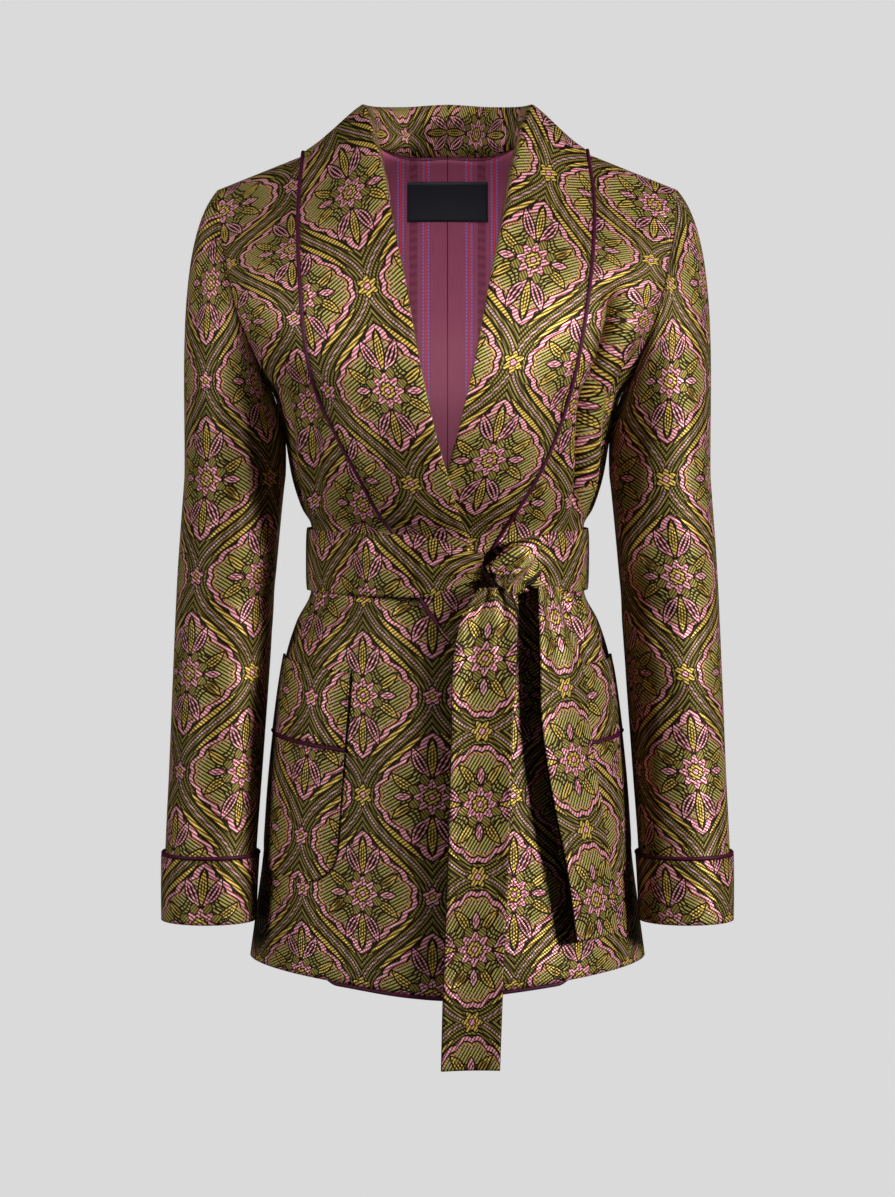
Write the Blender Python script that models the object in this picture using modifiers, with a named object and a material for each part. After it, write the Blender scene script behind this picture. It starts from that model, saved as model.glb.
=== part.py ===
"""Belted shawl-collar jacket in heavy patterned cloth, filled out as worn but empty.

Metres, +Z up. The front faces -Y and the wearer's left is +X.
The origin is inside the neck, level with the shoulders.
"""
import math
from collections import namedtuple

import bmesh
import bpy
from mathutils import Vector

# Cloth thicknesses and the space left between sewn pieces
CLOTH = 0.0016
LINING_CLOTH = 0.0010
CUFF_CLOTH = 0.0020
BAND_CLOTH = 0.0022
BELT_CLOTH = 0.0028
LABEL_CLOTH = 0.0010
LINING_GAP = 0.0032
LABEL_GAP = 0.0016
SEAM_GAP = 0.0004
SIDE_GAP = 0.0005
SHOULDER_GAP = 0.0011
PIPING_RADIUS = 0.0017

# Sides of the garment, as the wearer has them
RIGHT = -1
LEFT = 1

# Body sections from hem to shoulder seam. Level is the height at centre front or back,
# drop is how far the section sinks towards the side, and arm is where the armhole cuts it (degrees).
Ring = namedtuple("Ring", "level width front back drop arm")
RINGS = (
    Ring(-0.7075, 0.1725, 0.1300, 0.1180, -0.0155, 90.0),
    Ring(-0.6550, 0.1670, 0.1275, 0.1170, -0.0040, 90.0),
    Ring(-0.6000, 0.1605, 0.1240, 0.1150, 0.0000, 90.0),
    Ring(-0.5400, 0.1560, 0.1205, 0.1120, 0.0000, 90.0),
    Ring(-0.4800, 0.1490, 0.1155, 0.1060, 0.0000, 90.0),
    Ring(-0.4300, 0.1405, 0.1090, 0.0980, 0.0000, 90.0),
    Ring(-0.4000, 0.1310, 0.1020, 0.0900, 0.0000, 90.0),
    Ring(-0.3750, 0.1188, 0.0947, 0.0782, 0.0000, 90.0),
    Ring(-0.3460, 0.1168, 0.0927, 0.0763, 0.0000, 90.0),
    Ring(-0.3175, 0.1182, 0.0943, 0.0778, 0.0000, 90.0),
    Ring(-0.3020, 0.1265, 0.1040, 0.0870, 0.0000, 90.0),
    Ring(-0.2750, 0.1350, 0.1150, 0.0945, 0.0000, 90.0),
    Ring(-0.2350, 0.1420, 0.1235, 0.1010, 0.0000, 90.0),
    Ring(-0.2050, 0.1500, 0.1265, 0.1050, 0.0000, 90.0),
    Ring(-0.1850, 0.1640, 0.1260, 0.1060, 0.0020, 76.0),
    Ring(-0.1600, 0.1800, 0.1225, 0.1060, 0.0060, 68.0),
    Ring(-0.1100, 0.2020, 0.1100, 0.1020, 0.0200, 63.5),
    Ring(-0.0550, 0.2100, 0.0840, 0.0900, 0.0430, 64.0),
    Ring(-0.0050, 0.2135, 0.0480, 0.0640, 0.0640, 66.0),
    Ring(0.0455, 0.2160, 0.0000, 0.0000, 0.0800, 66.5),
)
SHOULDER_ROUNDING = 0.08
ARMPIT_LEVEL = -0.2050
ROW_LEVELS = (
    -0.7075, -0.660, -0.610, -0.555, -0.500, -0.455, -0.425, -0.400, -0.375, -0.346,
    -0.3175, -0.300, -0.275, -0.240, -0.205, -0.186, -0.163, -0.135, -0.105, -0.075,
    -0.045, -0.017, 0.008, 0.027,
)
SHOULDER_ROWS = (0.017, 0.007, 0.0)
BACK_COLUMNS = (0.0, 0.09, 0.17, 0.225, 0.255, 0.268, 0.31, 0.45, 0.63, 0.81, 1.0)
LINING_COLUMNS = (0.0, 0.09, 0.17, 0.225, 0.268, 0.45, 0.63, 0.81, 0.88)
LINING_ROWS = (1, 2, 3, 5, 7, 8, 9, 10, 11, 13, 14, 15, 16, 18, 19, 20, 21, 22, 24, 26)
NECK_CLEAR = 0.0028
LINING_DROP = 0.0050
BREAK_ROW = 6

# Fold line and outer edges of the shawl collar, measured sideways from the centre line
Collar = namedtuple("Collar", "level roll right_edge left_edge stand")
COLLAR = (
    Collar(-0.4370, -0.0205, -0.0150, -0.0150, 0.0006),
    Collar(-0.4250, -0.0205, -0.0090, -0.0090, 0.0008),
    Collar(-0.4000, -0.0200, 0.0050, 0.0050, 0.0012),
    Collar(-0.3760, -0.0195, 0.0195, 0.0170, 0.0016),
    Collar(-0.3460, -0.0175, 0.0300, 0.0290, 0.0016),
    Collar(-0.3180, -0.0115, 0.0400, 0.0440, 0.0018),
    Collar(-0.3020, -0.0070, 0.0505, 0.0540, 0.0020),
    Collar(-0.2750, 0.0005, 0.0680, 0.0710, 0.0024),
    Collar(-0.2350, 0.0115, 0.0915, 0.0895, 0.0030),
    Collar(-0.2050, 0.0185, 0.1060, 0.0990, 0.0040),
    Collar(-0.1600, 0.0285, 0.1165, 0.1090, 0.0055),
    Collar(-0.1100, 0.0370, 0.1210, 0.1160, 0.0080),
    Collar(-0.0550, 0.0477, 0.1240, 0.1210, 0.0125),
    Collar(-0.0050, 0.0550, 0.1250, 0.1230, 0.0175),
    Collar(0.0455, 0.0660, 0.1220, 0.1180, 0.0200),
)
FRONT_EDGE = -0.0205
BREAK_LEVEL = -0.4370
NECK_BACK = 0.0500
COLLAR_BACK = 0.0745
BACK_STAND = 0.0408
FACING = 0.012
COLLAR_GAP = 0.0012
BACK_COLLAR_GAP = 0.0016
CENTRE_GAP = 0.0013
BACK_STATIONS = 7

# The right front lies over the left one
OVERLAP_LIFT = 0.0112
OVERLAP_CLEAR = 0.092
OVERLAP_FULL = 0.030
OVERLAP_LOW = -0.230
OVERLAP_HIGH = -0.120

# Largest soft folds, in degrees from centre front, metres along the body
Fold = namedtuple("Fold", "side angle spread top low depth")
FOLDS = (
    Fold(LEFT, 57.0, 6.0, -0.130, -0.300, -0.0035),
    Fold(LEFT, 70.0, 5.0, -0.190, -0.305, 0.0025),
    Fold(RIGHT, 55.0, 6.0, -0.210, -0.312, -0.0030),
    Fold(RIGHT, 68.0, 6.0, -0.220, -0.312, 0.0022),
    Fold(LEFT, 28.0, 8.0, -0.385, -0.700, -0.0030),
    Fold(RIGHT, 30.0, 9.0, -0.420, -0.700, -0.0020),
    Fold(LEFT, 112.0, 8.0, -0.225, -0.315, -0.0030),
    Fold(RIGHT, 115.0, 8.0, -0.220, -0.315, -0.0030),
    Fold(LEFT, 150.0, 9.0, -0.235, -0.315, 0.0028),
    Fold(RIGHT, 152.0, 9.0, -0.235, -0.315, 0.0028),
    Fold(LEFT, 140.0, 14.0, -0.385, -0.690, -0.0030),
    Fold(RIGHT, 137.0, 14.0, -0.385, -0.690, -0.0030),
)

# Sleeve sections from the armpit down
Sleeve = namedtuple("Sleeve", "height across forward half_width half_depth")
SLEEVE = (
    Sleeve(-0.654, 0.2064, 0.036, 0.0388, 0.0410),
    Sleeve(-0.600, 0.2050, 0.028, 0.0395, 0.0430),
    Sleeve(-0.530, 0.2012, 0.017, 0.0405, 0.0460),
    Sleeve(-0.451, 0.1970, 0.006, 0.0418, 0.0500),
    Sleeve(-0.366, 0.1922, 0.000, 0.0428, 0.0530),
    Sleeve(-0.275, 0.1846, 0.000, 0.0436, 0.0560),
)
SLEEVE_SEGMENTS = 18
CAP_STEPS = (0.0, 0.08, 0.18, 0.32, 0.50, 0.74)
ARM_HEIGHTS = (-0.275, -0.320, -0.366, -0.410, -0.451, -0.490, -0.530, -0.565, -0.600, -0.654)
CAP_HEIGHT = -0.275
CAP_PUSH = 0.0010
CUFF_TOP = -0.6010
CUFF_LOW = -0.6560
CUFF_FLARE = 0.0008

# Patch pockets, set a little aslant
POCKET_CORNER = 0.0815
POCKET_TOP = -0.4380
POCKET_WIDTH = 0.106
POCKET_HEIGHT = 0.182
POCKET_BAND = 0.0640
POCKET_TILT = math.radians(5.0)
POCKET_ROUND = 0.030
POCKET_PUFF = 0.0016

# Belt, with its knot and two ends
BELT_LEVEL = -0.3460
BELT_HALF = 0.0265
BELT_BASE = 0.0030
BELT_STACK = 0.0165
BELT_RIGHT_CLEAR = 0.100
BELT_RIGHT_FULL = 0.040
BELT_LEFT_CLEAR = 0.066
BELT_LEFT_FULL = 0.026
Tail = namedtuple("Tail", "height across half lift")
LONG_TAIL = (
    Tail(-0.7670, 0.0195, 0.0242, 0.0226),
    Tail(-0.7000, 0.0215, 0.0246, 0.0228),
    Tail(-0.6000, 0.0255, 0.0250, 0.0224),
    Tail(-0.5000, 0.0285, 0.0252, 0.0224),
    Tail(-0.4300, 0.0310, 0.0252, 0.0226),
    Tail(-0.3920, 0.0345, 0.0190, 0.0235),
    Tail(-0.3637, 0.0385, 0.0095, 0.0224),
)
SHORT_TAIL = (
    Tail(-0.6680, 0.1230, 0.0255, 0.0084),
    Tail(-0.6100, 0.1155, 0.0255, 0.0084),
    Tail(-0.5400, 0.1040, 0.0255, 0.0084),
    Tail(-0.4800, 0.0960, 0.0250, 0.0085),
    Tail(-0.4300, 0.0915, 0.0225, 0.0082),
    Tail(-0.3980, 0.0850, 0.0175, 0.0082),
    Tail(-0.3660, 0.0780, 0.0130, 0.0092),
)
Knot = namedtuple("Knot", "across height deep radius flat")
KNOT = (
    Knot(0.0370, -0.3545, 0.1178, 0.0088, 0.75),
    Knot(0.0470, -0.3510, 0.1132, 0.0130, 0.70),
    Knot(0.0580, -0.3470, 0.1073, 0.0175, 0.66),
    Knot(0.0690, -0.3425, 0.1000, 0.0195, 0.62),
    Knot(0.0790, -0.3380, 0.0925, 0.0185, 0.60),
)
KNOT_SEGMENTS = 16

# Label sewn in at the back neck
LABEL_HALF = 0.0370
LABEL_TOP = -0.0140
LABEL_LOW = -0.0500


def soft_step(value):
    value = min(max(value, 0.0), 1.0)
    return value * value * (3.0 - 2.0 * value)


def mix(first, second, share):
    return first + (second - first) * share


def run_slopes(places, values, flat_end):
    """Slopes of a smooth curve that does not overshoot its points."""
    spans = [b - a for a, b in zip(places, places[1:])]
    rises = [(b - a) / span for a, b, span in zip(values, values[1:], spans)]
    slopes = [rises[0]]
    for index in range(1, len(values) - 1):
        before, after = rises[index - 1], rises[index]
        slopes.append(0.0 if before * after <= 0.0 else 2.0 * before * after / (before + after))
    slopes.append(0.0 if flat_end else rises[-1])
    return slopes


class Curve:
    """Smooth curve through a table, one value per named column."""

    def __init__(self, kind, rows, places, flat=()):
        self.kind = kind
        self.places = places
        self.columns = []
        for index, name in enumerate(kind._fields):
            values = [row[index] for row in rows]
            self.columns.append((values, run_slopes(places, values, name in flat)))

    def __call__(self, place):
        places = self.places
        place = min(max(place, places[0]), places[-1])
        low = 0
        while low < len(places) - 2 and place > places[low + 1]:
            low += 1
        span = places[low + 1] - places[low]
        share = (place - places[low]) / span
        square, cube = share * share, share * share * share
        result = []
        for values, slopes in self.columns:
            result.append(
                (2 * cube - 3 * square + 1) * values[low]
                + (cube - 2 * square + share) * span * slopes[low]
                + (3 * square - 2 * cube) * values[low + 1]
                + (cube - square) * span * slopes[low + 1]
            )
        return self.kind(*result)


def girth_places(rings):
    """Distance from the hem to each ring along the cloth at centre front."""
    places = [0.0]
    for low, high in zip(rings, rings[1:]):
        places.append(places[-1] + math.hypot(high.level - low.level, high.front - low.front))
    return places


PLACES = girth_places(RINGS)
TOP = PLACES[-1]
ring_at = Curve(Ring, RINGS, PLACES, flat=("level", "drop", "width"))
collar_at = Curve(Collar, COLLAR, [row.level for row in COLLAR])
sleeve_at = Curve(Sleeve, SLEEVE, [row.height for row in SLEEVE])
long_tail_at = Curve(Tail, LONG_TAIL, [row.height for row in LONG_TAIL])
short_tail_at = Curve(Tail, SHORT_TAIL, [row.height for row in SHORT_TAIL])


def place_of(level):
    """Distance along the cloth at which the centre line reaches a level."""
    low, high = 0.0, TOP
    for _ in range(44):
        middle = (low + high) / 2.0
        if ring_at(middle).level < level:
            low = middle
        else:
            high = middle
    return (low + high) / 2.0


ARMPIT = place_of(ARMPIT_LEVEL)
BELT_PLACE = place_of(BELT_LEVEL)


def sink(sine):
    """Share of a section's drop at a distance from the centre line, rounded in the middle."""
    edge = math.sqrt(1.0 + SHOULDER_ROUNDING ** 2) - SHOULDER_ROUNDING
    return (math.sqrt(sine * sine + SHOULDER_ROUNDING ** 2) - SHOULDER_ROUNDING) / edge


def fold_depth(side, angle, level):
    depth = 0.0
    for fold in FOLDS:
        if fold.side != side or level > fold.top or level < fold.low:
            continue
        along = (level - fold.low) / (fold.top - fold.low)
        fade = soft_step(along * 4.0) * soft_step((1.0 - along) * 4.0)
        reach = (angle - fold.angle) / fold.spread
        depth += fold.depth * fade * math.exp(-reach * reach)
    return depth


def bare_point(angle, place):
    """Point of the body surface on the wearer's left, angle counted from centre front."""
    ring = ring_at(place)
    turn = math.radians(angle)
    sine, cosine = math.sin(turn), math.cos(turn)
    depth = ring.front if cosine > 0.0 else ring.back
    return Vector((ring.width * sine, -depth * cosine, ring.level - ring.drop * sink(sine)))


def bare_normal(angle, place):
    high = min(place + 0.0012, TOP)
    low = max(place - 0.0012, 0.0)
    across = bare_point(angle + 0.4, place) - bare_point(angle - 0.4, place)
    along = bare_point(angle, high) - bare_point(angle, low)
    return across.cross(along).normalized()


def body_point(side, angle, place, out):
    """Point that lies a distance outside the folded body surface, on one side of the garment."""
    ring = ring_at(place)
    point = bare_point(angle, place)
    point += bare_normal(angle, place) * (out + fold_depth(side, angle, ring.level))
    point.x *= side
    return point


def front_lift(side, angle, place):
    """How far the overlapping front stands off the one beneath it."""
    if side == LEFT:
        return 0.0
    ring = ring_at(place)
    across = ring.width * math.sin(math.radians(angle))
    share = soft_step((OVERLAP_CLEAR - across) / (OVERLAP_CLEAR - OVERLAP_FULL))
    return OVERLAP_LIFT * share * soft_step((OVERLAP_HIGH - ring.level) / (OVERLAP_HIGH - OVERLAP_LOW))


def front_point(side, angle, place, out):
    return body_point(side, angle, place, out + front_lift(side, angle, place))


def angle_for(across, place):
    """Angle at which a section reaches a sideways distance."""
    return math.degrees(math.asin(max(-1.0, min(1.0, across / ring_at(place).width))))


def front_inner(place):
    level = ring_at(place).level
    return FRONT_EDGE if level <= BREAK_LEVEL else collar_at(level).roll


def side_limit(place):
    """Last angle of a panel, just before the side seam or the armhole."""
    ring = ring_at(place)
    turn = math.radians(ring.arm)
    pace = math.hypot(ring.width * math.cos(turn), ring.front * math.sin(turn))
    return ring.arm - math.degrees(SIDE_GAP / pace)


def back_place(across, back):
    """Angle from centre back and place on the back for a point given in plan."""
    low, high = ARMPIT, TOP
    for _ in range(40):
        middle = (low + high) / 2.0
        ring = ring_at(middle)
        share = min(1.0, across / ring.width)
        if ring.back * math.sqrt(1.0 - share * share) > back:
            low = middle
        else:
            high = middle
    return 180.0 - angle_for(across, (low + high) / 2.0), (low + high) / 2.0


def height_place(across, height):
    """Place at which the back, at a distance from its centre line, reaches a height."""
    low, high = ARMPIT, TOP
    for _ in range(40):
        middle = (low + high) / 2.0
        if bare_point(180.0 - angle_for(across, middle), middle).z < height:
            low = middle
        else:
            high = middle
    return (low + high) / 2.0


def clear_objects():
    for item in list(bpy.data.objects):
        bpy.data.objects.remove(item, do_unlink=True)
    for group in list(bpy.data.collections):
        bpy.data.collections.remove(group)


def cloth_material(name, colour, roughness):
    material = bpy.data.materials.new(name)
    material.use_nodes = True
    shader = material.node_tree.nodes["Principled BSDF"]
    shader.inputs["Base Color"].default_value = (*colour, 1.0)
    shader.inputs["Roughness"].default_value = roughness
    return material


def sheet(name, columns, rows, place, thickness, material, turn_over=False, weld=False):
    """Wall of cloth: a grid moved to its places by a function of column and row, then thickened."""
    cloth = bmesh.new()
    bmesh.ops.create_grid(cloth, x_segments=columns, y_segments=rows, size=0.5)
    for corner in cloth.verts:
        corner.co = place((corner.co.x + 0.5) * columns, (corner.co.y + 0.5) * rows)
    if weld:
        bmesh.ops.remove_doubles(cloth, verts=cloth.verts, dist=0.00005)
    if turn_over:
        bmesh.ops.reverse_faces(cloth, faces=cloth.faces)
    mesh = bpy.data.meshes.new(name)
    cloth.to_mesh(mesh)
    cloth.free()
    mesh.materials.append(material)
    item = bpy.data.objects.new(name, mesh)
    JACKET.objects.link(item)
    wall = item.modifiers.new("wall", "SOLIDIFY")
    wall.thickness = thickness
    wall.offset = -1.0
    wall.use_even_offset = False
    return item


def cord(name, points, radius, material, closed=False):
    """Round piping along a line of points."""
    line = bpy.data.curves.new(name, "CURVE")
    line.dimensions = "3D"
    line.bevel_depth = radius
    line.bevel_resolution = 1
    line.use_fill_caps = not closed
    run = line.splines.new("POLY")
    run.points.add(len(points) - 1)
    for knot, point in zip(run.points, points):
        knot.co = (*point, 1.0)
    run.use_cyclic_u = closed
    line.materials.append(material)
    item = bpy.data.objects.new(name, line)
    JACKET.objects.link(item)
    return item


ROW_PLACES = tuple(place_of(level) for level in ROW_LEVELS) + tuple(TOP - run for run in SHOULDER_ROWS)
FRONT_STATIONS = len(ROW_PLACES) - 1 - BREAK_ROW


def panel_place(index, end):
    """Place of a row; rows above the armpit are fitted between it and the panel's own top edge."""
    place = ROW_PLACES[int(round(index))]
    if place > ARMPIT:
        place = ARMPIT + (place - ARMPIT) * (end - ARMPIT) / (TOP - ARMPIT)
    return place


def shoulder_end(angle):
    """Place where a panel stops short of the shoulder seam."""
    return TOP - SHOULDER_GAP / math.cos(math.radians(angle))


NECK_ANGLE = angle_for(COLLAR[-1].roll, TOP)


def make_front(name, side, material):
    columns = 12
    rows = len(ROW_PLACES) - 1

    def place(column, row):
        share = column / columns
        along = panel_place(row, shoulder_end(mix(NECK_ANGLE, RINGS[-1].arm, share)))
        start = angle_for(front_inner(along), along)
        return front_point(side, mix(start, side_limit(along), share), along, 0.0)

    return sheet(name, columns, rows, place, CLOTH, material, turn_over=side == RIGHT)


def back_end(share):
    """Place where the back ends: at the shoulder seam or, near the middle, at the neck."""
    across = abs(ring_at(TOP).width * math.sin(math.radians(share * ring_at(TOP).arm)))
    reach = COLLAR[-1].roll + NECK_CLEAR
    seam = shoulder_end(abs(share) * RINGS[-1].arm)
    if across >= reach:
        return seam
    depth = (NECK_BACK + NECK_CLEAR) * math.sqrt(1.0 - (across / reach) ** 2)
    return min(back_place(across, depth)[1], seam)


def back_sheet_place(shares, rows, margin, out, top_drop):
    half = len(shares) - 1

    def place(column, row):
        step = int(round(column)) - half
        share = math.copysign(shares[abs(step)], step) * margin
        along = panel_place(rows[int(round(row))], back_end(share))
        along -= top_drop * soft_step((along - ARMPIT) / (back_end(share) - ARMPIT))
        side = LEFT if share > 0.0 else RIGHT
        angle = 180.0 - abs(share) * side_limit(along)
        return body_point(side, angle, along, out)

    return place


def make_back(name, material):
    columns = 2 * len(BACK_COLUMNS) - 2
    rows = range(len(ROW_PLACES))
    place = back_sheet_place(BACK_COLUMNS, rows, 1.0, 0.0, 0.0)
    return sheet(name, columns, len(rows) - 1, place, CLOTH, material, turn_over=True)


def make_lining(name, material):
    columns = 2 * len(LINING_COLUMNS) - 2
    place = back_sheet_place(LINING_COLUMNS, LINING_ROWS, 1.0, -CLOTH - LINING_GAP, LINING_DROP)
    return sheet(name, columns, len(LINING_ROWS) - 1, place, LINING_CLOTH, material, turn_over=True)


def make_label(name, material):
    columns = 6
    rows = 3

    def place(column, row):
        across = mix(-LABEL_HALF, LABEL_HALF, column / columns)
        along = height_place(abs(across), mix(LABEL_LOW, LABEL_TOP, row / rows))
        angle = 180.0 - angle_for(abs(across), along)
        out = -CLOTH - LINING_GAP - LINING_CLOTH - LABEL_GAP
        return body_point(LEFT if across > 0.0 else RIGHT, angle, along, out)

    return sheet(name, columns, rows, place, LABEL_CLOTH, material, turn_over=True)


# Collar section from the fold outwards: share of its width, height in parts of the stand and of the
# cloth it lies over, and the set sideways of the fold
Turn = namedtuple("Turn", "share rise clear aside")
COLLAR_TURNS = (
    Turn(0.00, 0.55, 0.40, -0.0036),
    Turn(0.00, 0.92, 0.85, -0.0026),
    Turn(0.00, 1.06, 1.05, 0.0004),
    Turn(0.06, 1.00, 1.05, 0.0020),
    Turn(0.16, 0.80, 1.00, 0.0020),
    Turn(0.32, 0.50, 1.00, 0.0012),
    Turn(0.52, 0.24, 1.00, 0.0006),
    Turn(0.76, 0.07, 1.00, 0.0002),
    Turn(1.00, 0.00, 1.00, 0.0000),
)
INNER_TURNS = 3
COLLAR_COLUMNS = INNER_TURNS + len(COLLAR_TURNS) - 1


def collar_front(side, station, column):
    """Point of the collar where it lies on the front, from the break point up to the shoulder."""
    share = station / FRONT_STATIONS
    along = ROW_PLACES[BREAK_ROW + station]
    row = collar_at(ring_at(along).level)
    edge = row.right_edge if side == RIGHT else row.left_edge
    speed = math.degrees(1.0 / ring_at(along).width)
    start = angle_for(row.roll, along)
    stop = angle_for(edge, along)
    under = -(CLOTH + COLLAR_GAP + CLOTH)
    over = mix(COLLAR_GAP, BACK_COLLAR_GAP, soft_step((share - 0.7) / 0.3)) + CLOTH
    facing = mix(FACING, 0.004, soft_step((share - 0.6) / 0.4))
    inner = (
        (facing, under),
        (facing * 0.45, under),
        (-0.0018, under * 0.75),
    )
    if column < INNER_TURNS:
        aside, rise = inner[column]
        return front_point(side, start + aside * speed, along, rise)
    turn = COLLAR_TURNS[column - INNER_TURNS]
    angle = mix(start, stop, turn.share) + turn.aside * speed
    return front_point(side, angle, along, over * turn.clear + row.stand * turn.rise)


def back_line(share, reach, depth):
    turn = share * math.pi / 2.0
    return reach * math.cos(turn), depth * math.sin(turn)


def collar_back(side, station, column):
    """Point of the collar behind the shoulder seam, where it stands round the neck and falls outside."""
    share = station / BACK_STATIONS
    last = COLLAR[-1]
    edge = last.right_edge if side == RIGHT else last.left_edge
    neck = back_line(share, last.roll, NECK_BACK)
    hang = back_line(share, edge, COLLAR_BACK)
    stand = mix(last.stand, BACK_STAND, math.sin(share * math.pi / 2.0) ** 1.3)
    lean = mix(0.0, 0.9, soft_step(share * 1.5))
    under = -(CLOTH + COLLAR_GAP + CLOTH)
    over = BACK_COLLAR_GAP + CLOTH
    inner = (
        (0.0040, under),
        (0.0018, under),
        (-0.0018, under * 0.75),
    )
    outward = Vector((math.cos(share * math.pi / 2.0), math.sin(share * math.pi / 2.0)))
    if column < INNER_TURNS:
        aside, rise = inner[column]
        part = 0.0
    else:
        turn = COLLAR_TURNS[column - INNER_TURNS]
        aside, part = turn.aside, turn.share
        rise = over * turn.clear + stand * turn.rise
    across = max(mix(neck[0], hang[0], part) + aside * outward.x, 0.0)
    back = max(mix(neck[1], hang[1], part) + aside * outward.y, 0.0)
    angle, along = back_place(across, back)
    up = bare_normal(angle, along) + Vector((0.0, 0.0, lean * (1.0 - part)))
    point = bare_point(angle, along) + up.normalized() * rise
    point.x = max(point.x, CENTRE_GAP / 2.0) * side
    if station == BACK_STATIONS:
        point.x = side * CENTRE_GAP / 2.0
    return point


def collar_point(side, column, row):
    row = int(round(row))
    if row <= FRONT_STATIONS:
        return collar_front(side, row, int(round(column)))
    return collar_back(side, row - FRONT_STATIONS, int(round(column)))


def make_collar(name, side, material):
    rows = FRONT_STATIONS + BACK_STATIONS

    def place(column, row):
        return collar_point(side, column, row)

    return sheet(name, COLLAR_COLUMNS, rows, place, CLOTH, material, turn_over=side == RIGHT)


def make_collar_piping(name, side, material):
    """Piping just outside the collar's outer edge, from the break point to centre back."""
    points = []
    step = SEAM_GAP + PIPING_RADIUS
    for row in range(1, FRONT_STATIONS + BACK_STATIONS + 1):
        edge = collar_point(side, COLLAR_COLUMNS, row)
        inner = collar_point(side, COLLAR_COLUMNS - 1, row)
        outward = (edge - inner).normalized()
        if row <= FRONT_STATIONS:
            along = ROW_PLACES[BREAK_ROW + row]
            table = collar_at(ring_at(along).level)
            reach = table.right_edge if side == RIGHT else table.left_edge
            normal = bare_normal(angle_for(reach, along), along)
        else:
            last = COLLAR[-1]
            reach = last.right_edge if side == RIGHT else last.left_edge
            spot = back_line((row - FRONT_STATIONS) / BACK_STATIONS, reach, COLLAR_BACK)
            normal = bare_normal(*back_place(*spot))
        normal.x *= side
        point = edge + outward * step + normal * (PIPING_RADIUS - CLOTH)
        if row == FRONT_STATIONS + BACK_STATIONS:
            point.x = side * SEAM_GAP / 2.0
        points.append(point)
    return cord(name, points, PIPING_RADIUS, material)


def make_edge_piping(name, side, material):
    """Piping down the front edge below the collar and a hand's width along the hem."""
    step = SEAM_GAP + PIPING_RADIUS
    points = []
    top = BREAK_LEVEL - 0.004
    for index in range(12):
        along = place_of(mix(top, RINGS[0].level, index / 11.0))
        aside = math.degrees(step / ring_at(along).width)
        points.append(front_point(side, angle_for(FRONT_EDGE, along) - aside, along, -CLOTH / 2.0))
    points[-1].z -= step
    for index in range(9):
        across = mix(FRONT_EDGE + 0.005, 0.108, index / 8.0)
        point = front_point(side, angle_for(across, 0.0), 0.0, -CLOTH / 2.0)
        point.z -= step
        points.append(point)
    return cord(name, points, PIPING_RADIUS, material)


def armhole_point(share):
    """Edge of the armhole: from the shoulder tip down the front, under the arm and up the back."""
    forward = share <= 0.5
    run = share * 2.0 if forward else (1.0 - share) * 2.0
    along = mix(TOP, ARMPIT, run)
    arm = ring_at(along).arm
    point = bare_point(arm if forward else 180.0 - arm, along)
    point.x += CAP_PUSH
    return point


def sleeve_ring(height, turn, out):
    row = sleeve_at(height)
    return Vector((
        row.across + (row.half_width + out) * math.cos(turn),
        -row.forward - (row.half_depth + out) * math.sin(turn),
        height,
    ))


def sleeve_point(share, row):
    turn = share * 2.0 * math.pi
    if row >= len(CAP_STEPS):
        return sleeve_ring(ARM_HEIGHTS[row - len(CAP_STEPS)], turn, 0.0)
    step = CAP_STEPS[row]
    start = armhole_point(share)
    stop = sleeve_ring(CAP_HEIGHT, turn, 0.0)
    reach = (stop - start).length
    lead = Vector((0.16 + 0.30 * math.cos(turn), -0.22 * math.sin(turn), -0.50)) * reach
    close = Vector((0.02, 0.0, -0.9)) * reach
    square, cube = step * step, step * step * step
    return (
        start * (2 * cube - 3 * square + 1)
        + lead * (cube - 2 * square + step)
        + stop * (3 * square - 2 * cube)
        + close * (cube - square)
    )


def make_sleeve(name, side, material):
    rows = len(CAP_STEPS) + len(ARM_HEIGHTS) - 1

    def place(column, row):
        point = sleeve_point((column / SLEEVE_SEGMENTS) % 1.0, int(round(row)))
        point.x *= side
        return point

    return sheet(name, SLEEVE_SEGMENTS, rows, place, CLOTH, material, turn_over=side == RIGHT, weld=True)


def make_cuff(name, side, material):
    rows = 3

    def place(column, row):
        share = row / rows
        out = SEAM_GAP + CUFF_CLOTH + CUFF_FLARE * share
        height = mix(CUFF_LOW, CUFF_TOP, share)
        point = sleeve_ring(max(height, SLEEVE[0].height), column / SLEEVE_SEGMENTS * 2.0 * math.pi, out)
        point.z = height
        point.x *= side
        return point

    return sheet(name, SLEEVE_SEGMENTS, rows, place, CUFF_CLOTH, material, turn_over=side == LEFT, weld=True)


def make_cuff_piping(name, side, material):
    points = []
    height = CUFF_TOP + SEAM_GAP + PIPING_RADIUS
    for index in range(SLEEVE_SEGMENTS):
        turn = index / SLEEVE_SEGMENTS * 2.0 * math.pi
        point = sleeve_ring(height, turn, SEAM_GAP * 1.5 + PIPING_RADIUS)
        point.x *= side
        points.append(point)
    return cord(name, points, PIPING_RADIUS, material, closed=True)


def arc_angle(place, length):
    """Angle reached by walking a length round a section from centre front."""
    ring = ring_at(place)
    angle, walked, step = 0.0, 0.0, 0.5
    while angle < 100.0:
        turn = math.radians(angle + step / 2.0)
        stride = math.hypot(ring.width * math.cos(turn), ring.front * math.sin(turn)) * math.radians(step)
        if walked + stride > length:
            return angle + step * (length - walked) / stride
        walked += stride
        angle += step
    return angle


def arc_length(place, across):
    low, high = 0.0, 0.3
    for _ in range(24):
        middle = (low + high) / 2.0
        if ring_at(place).width * math.sin(math.radians(arc_angle(place, middle))) < across:
            low = middle
        else:
            high = middle
    return low


POCKET_START = arc_length(place_of(POCKET_TOP), POCKET_CORNER)


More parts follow.
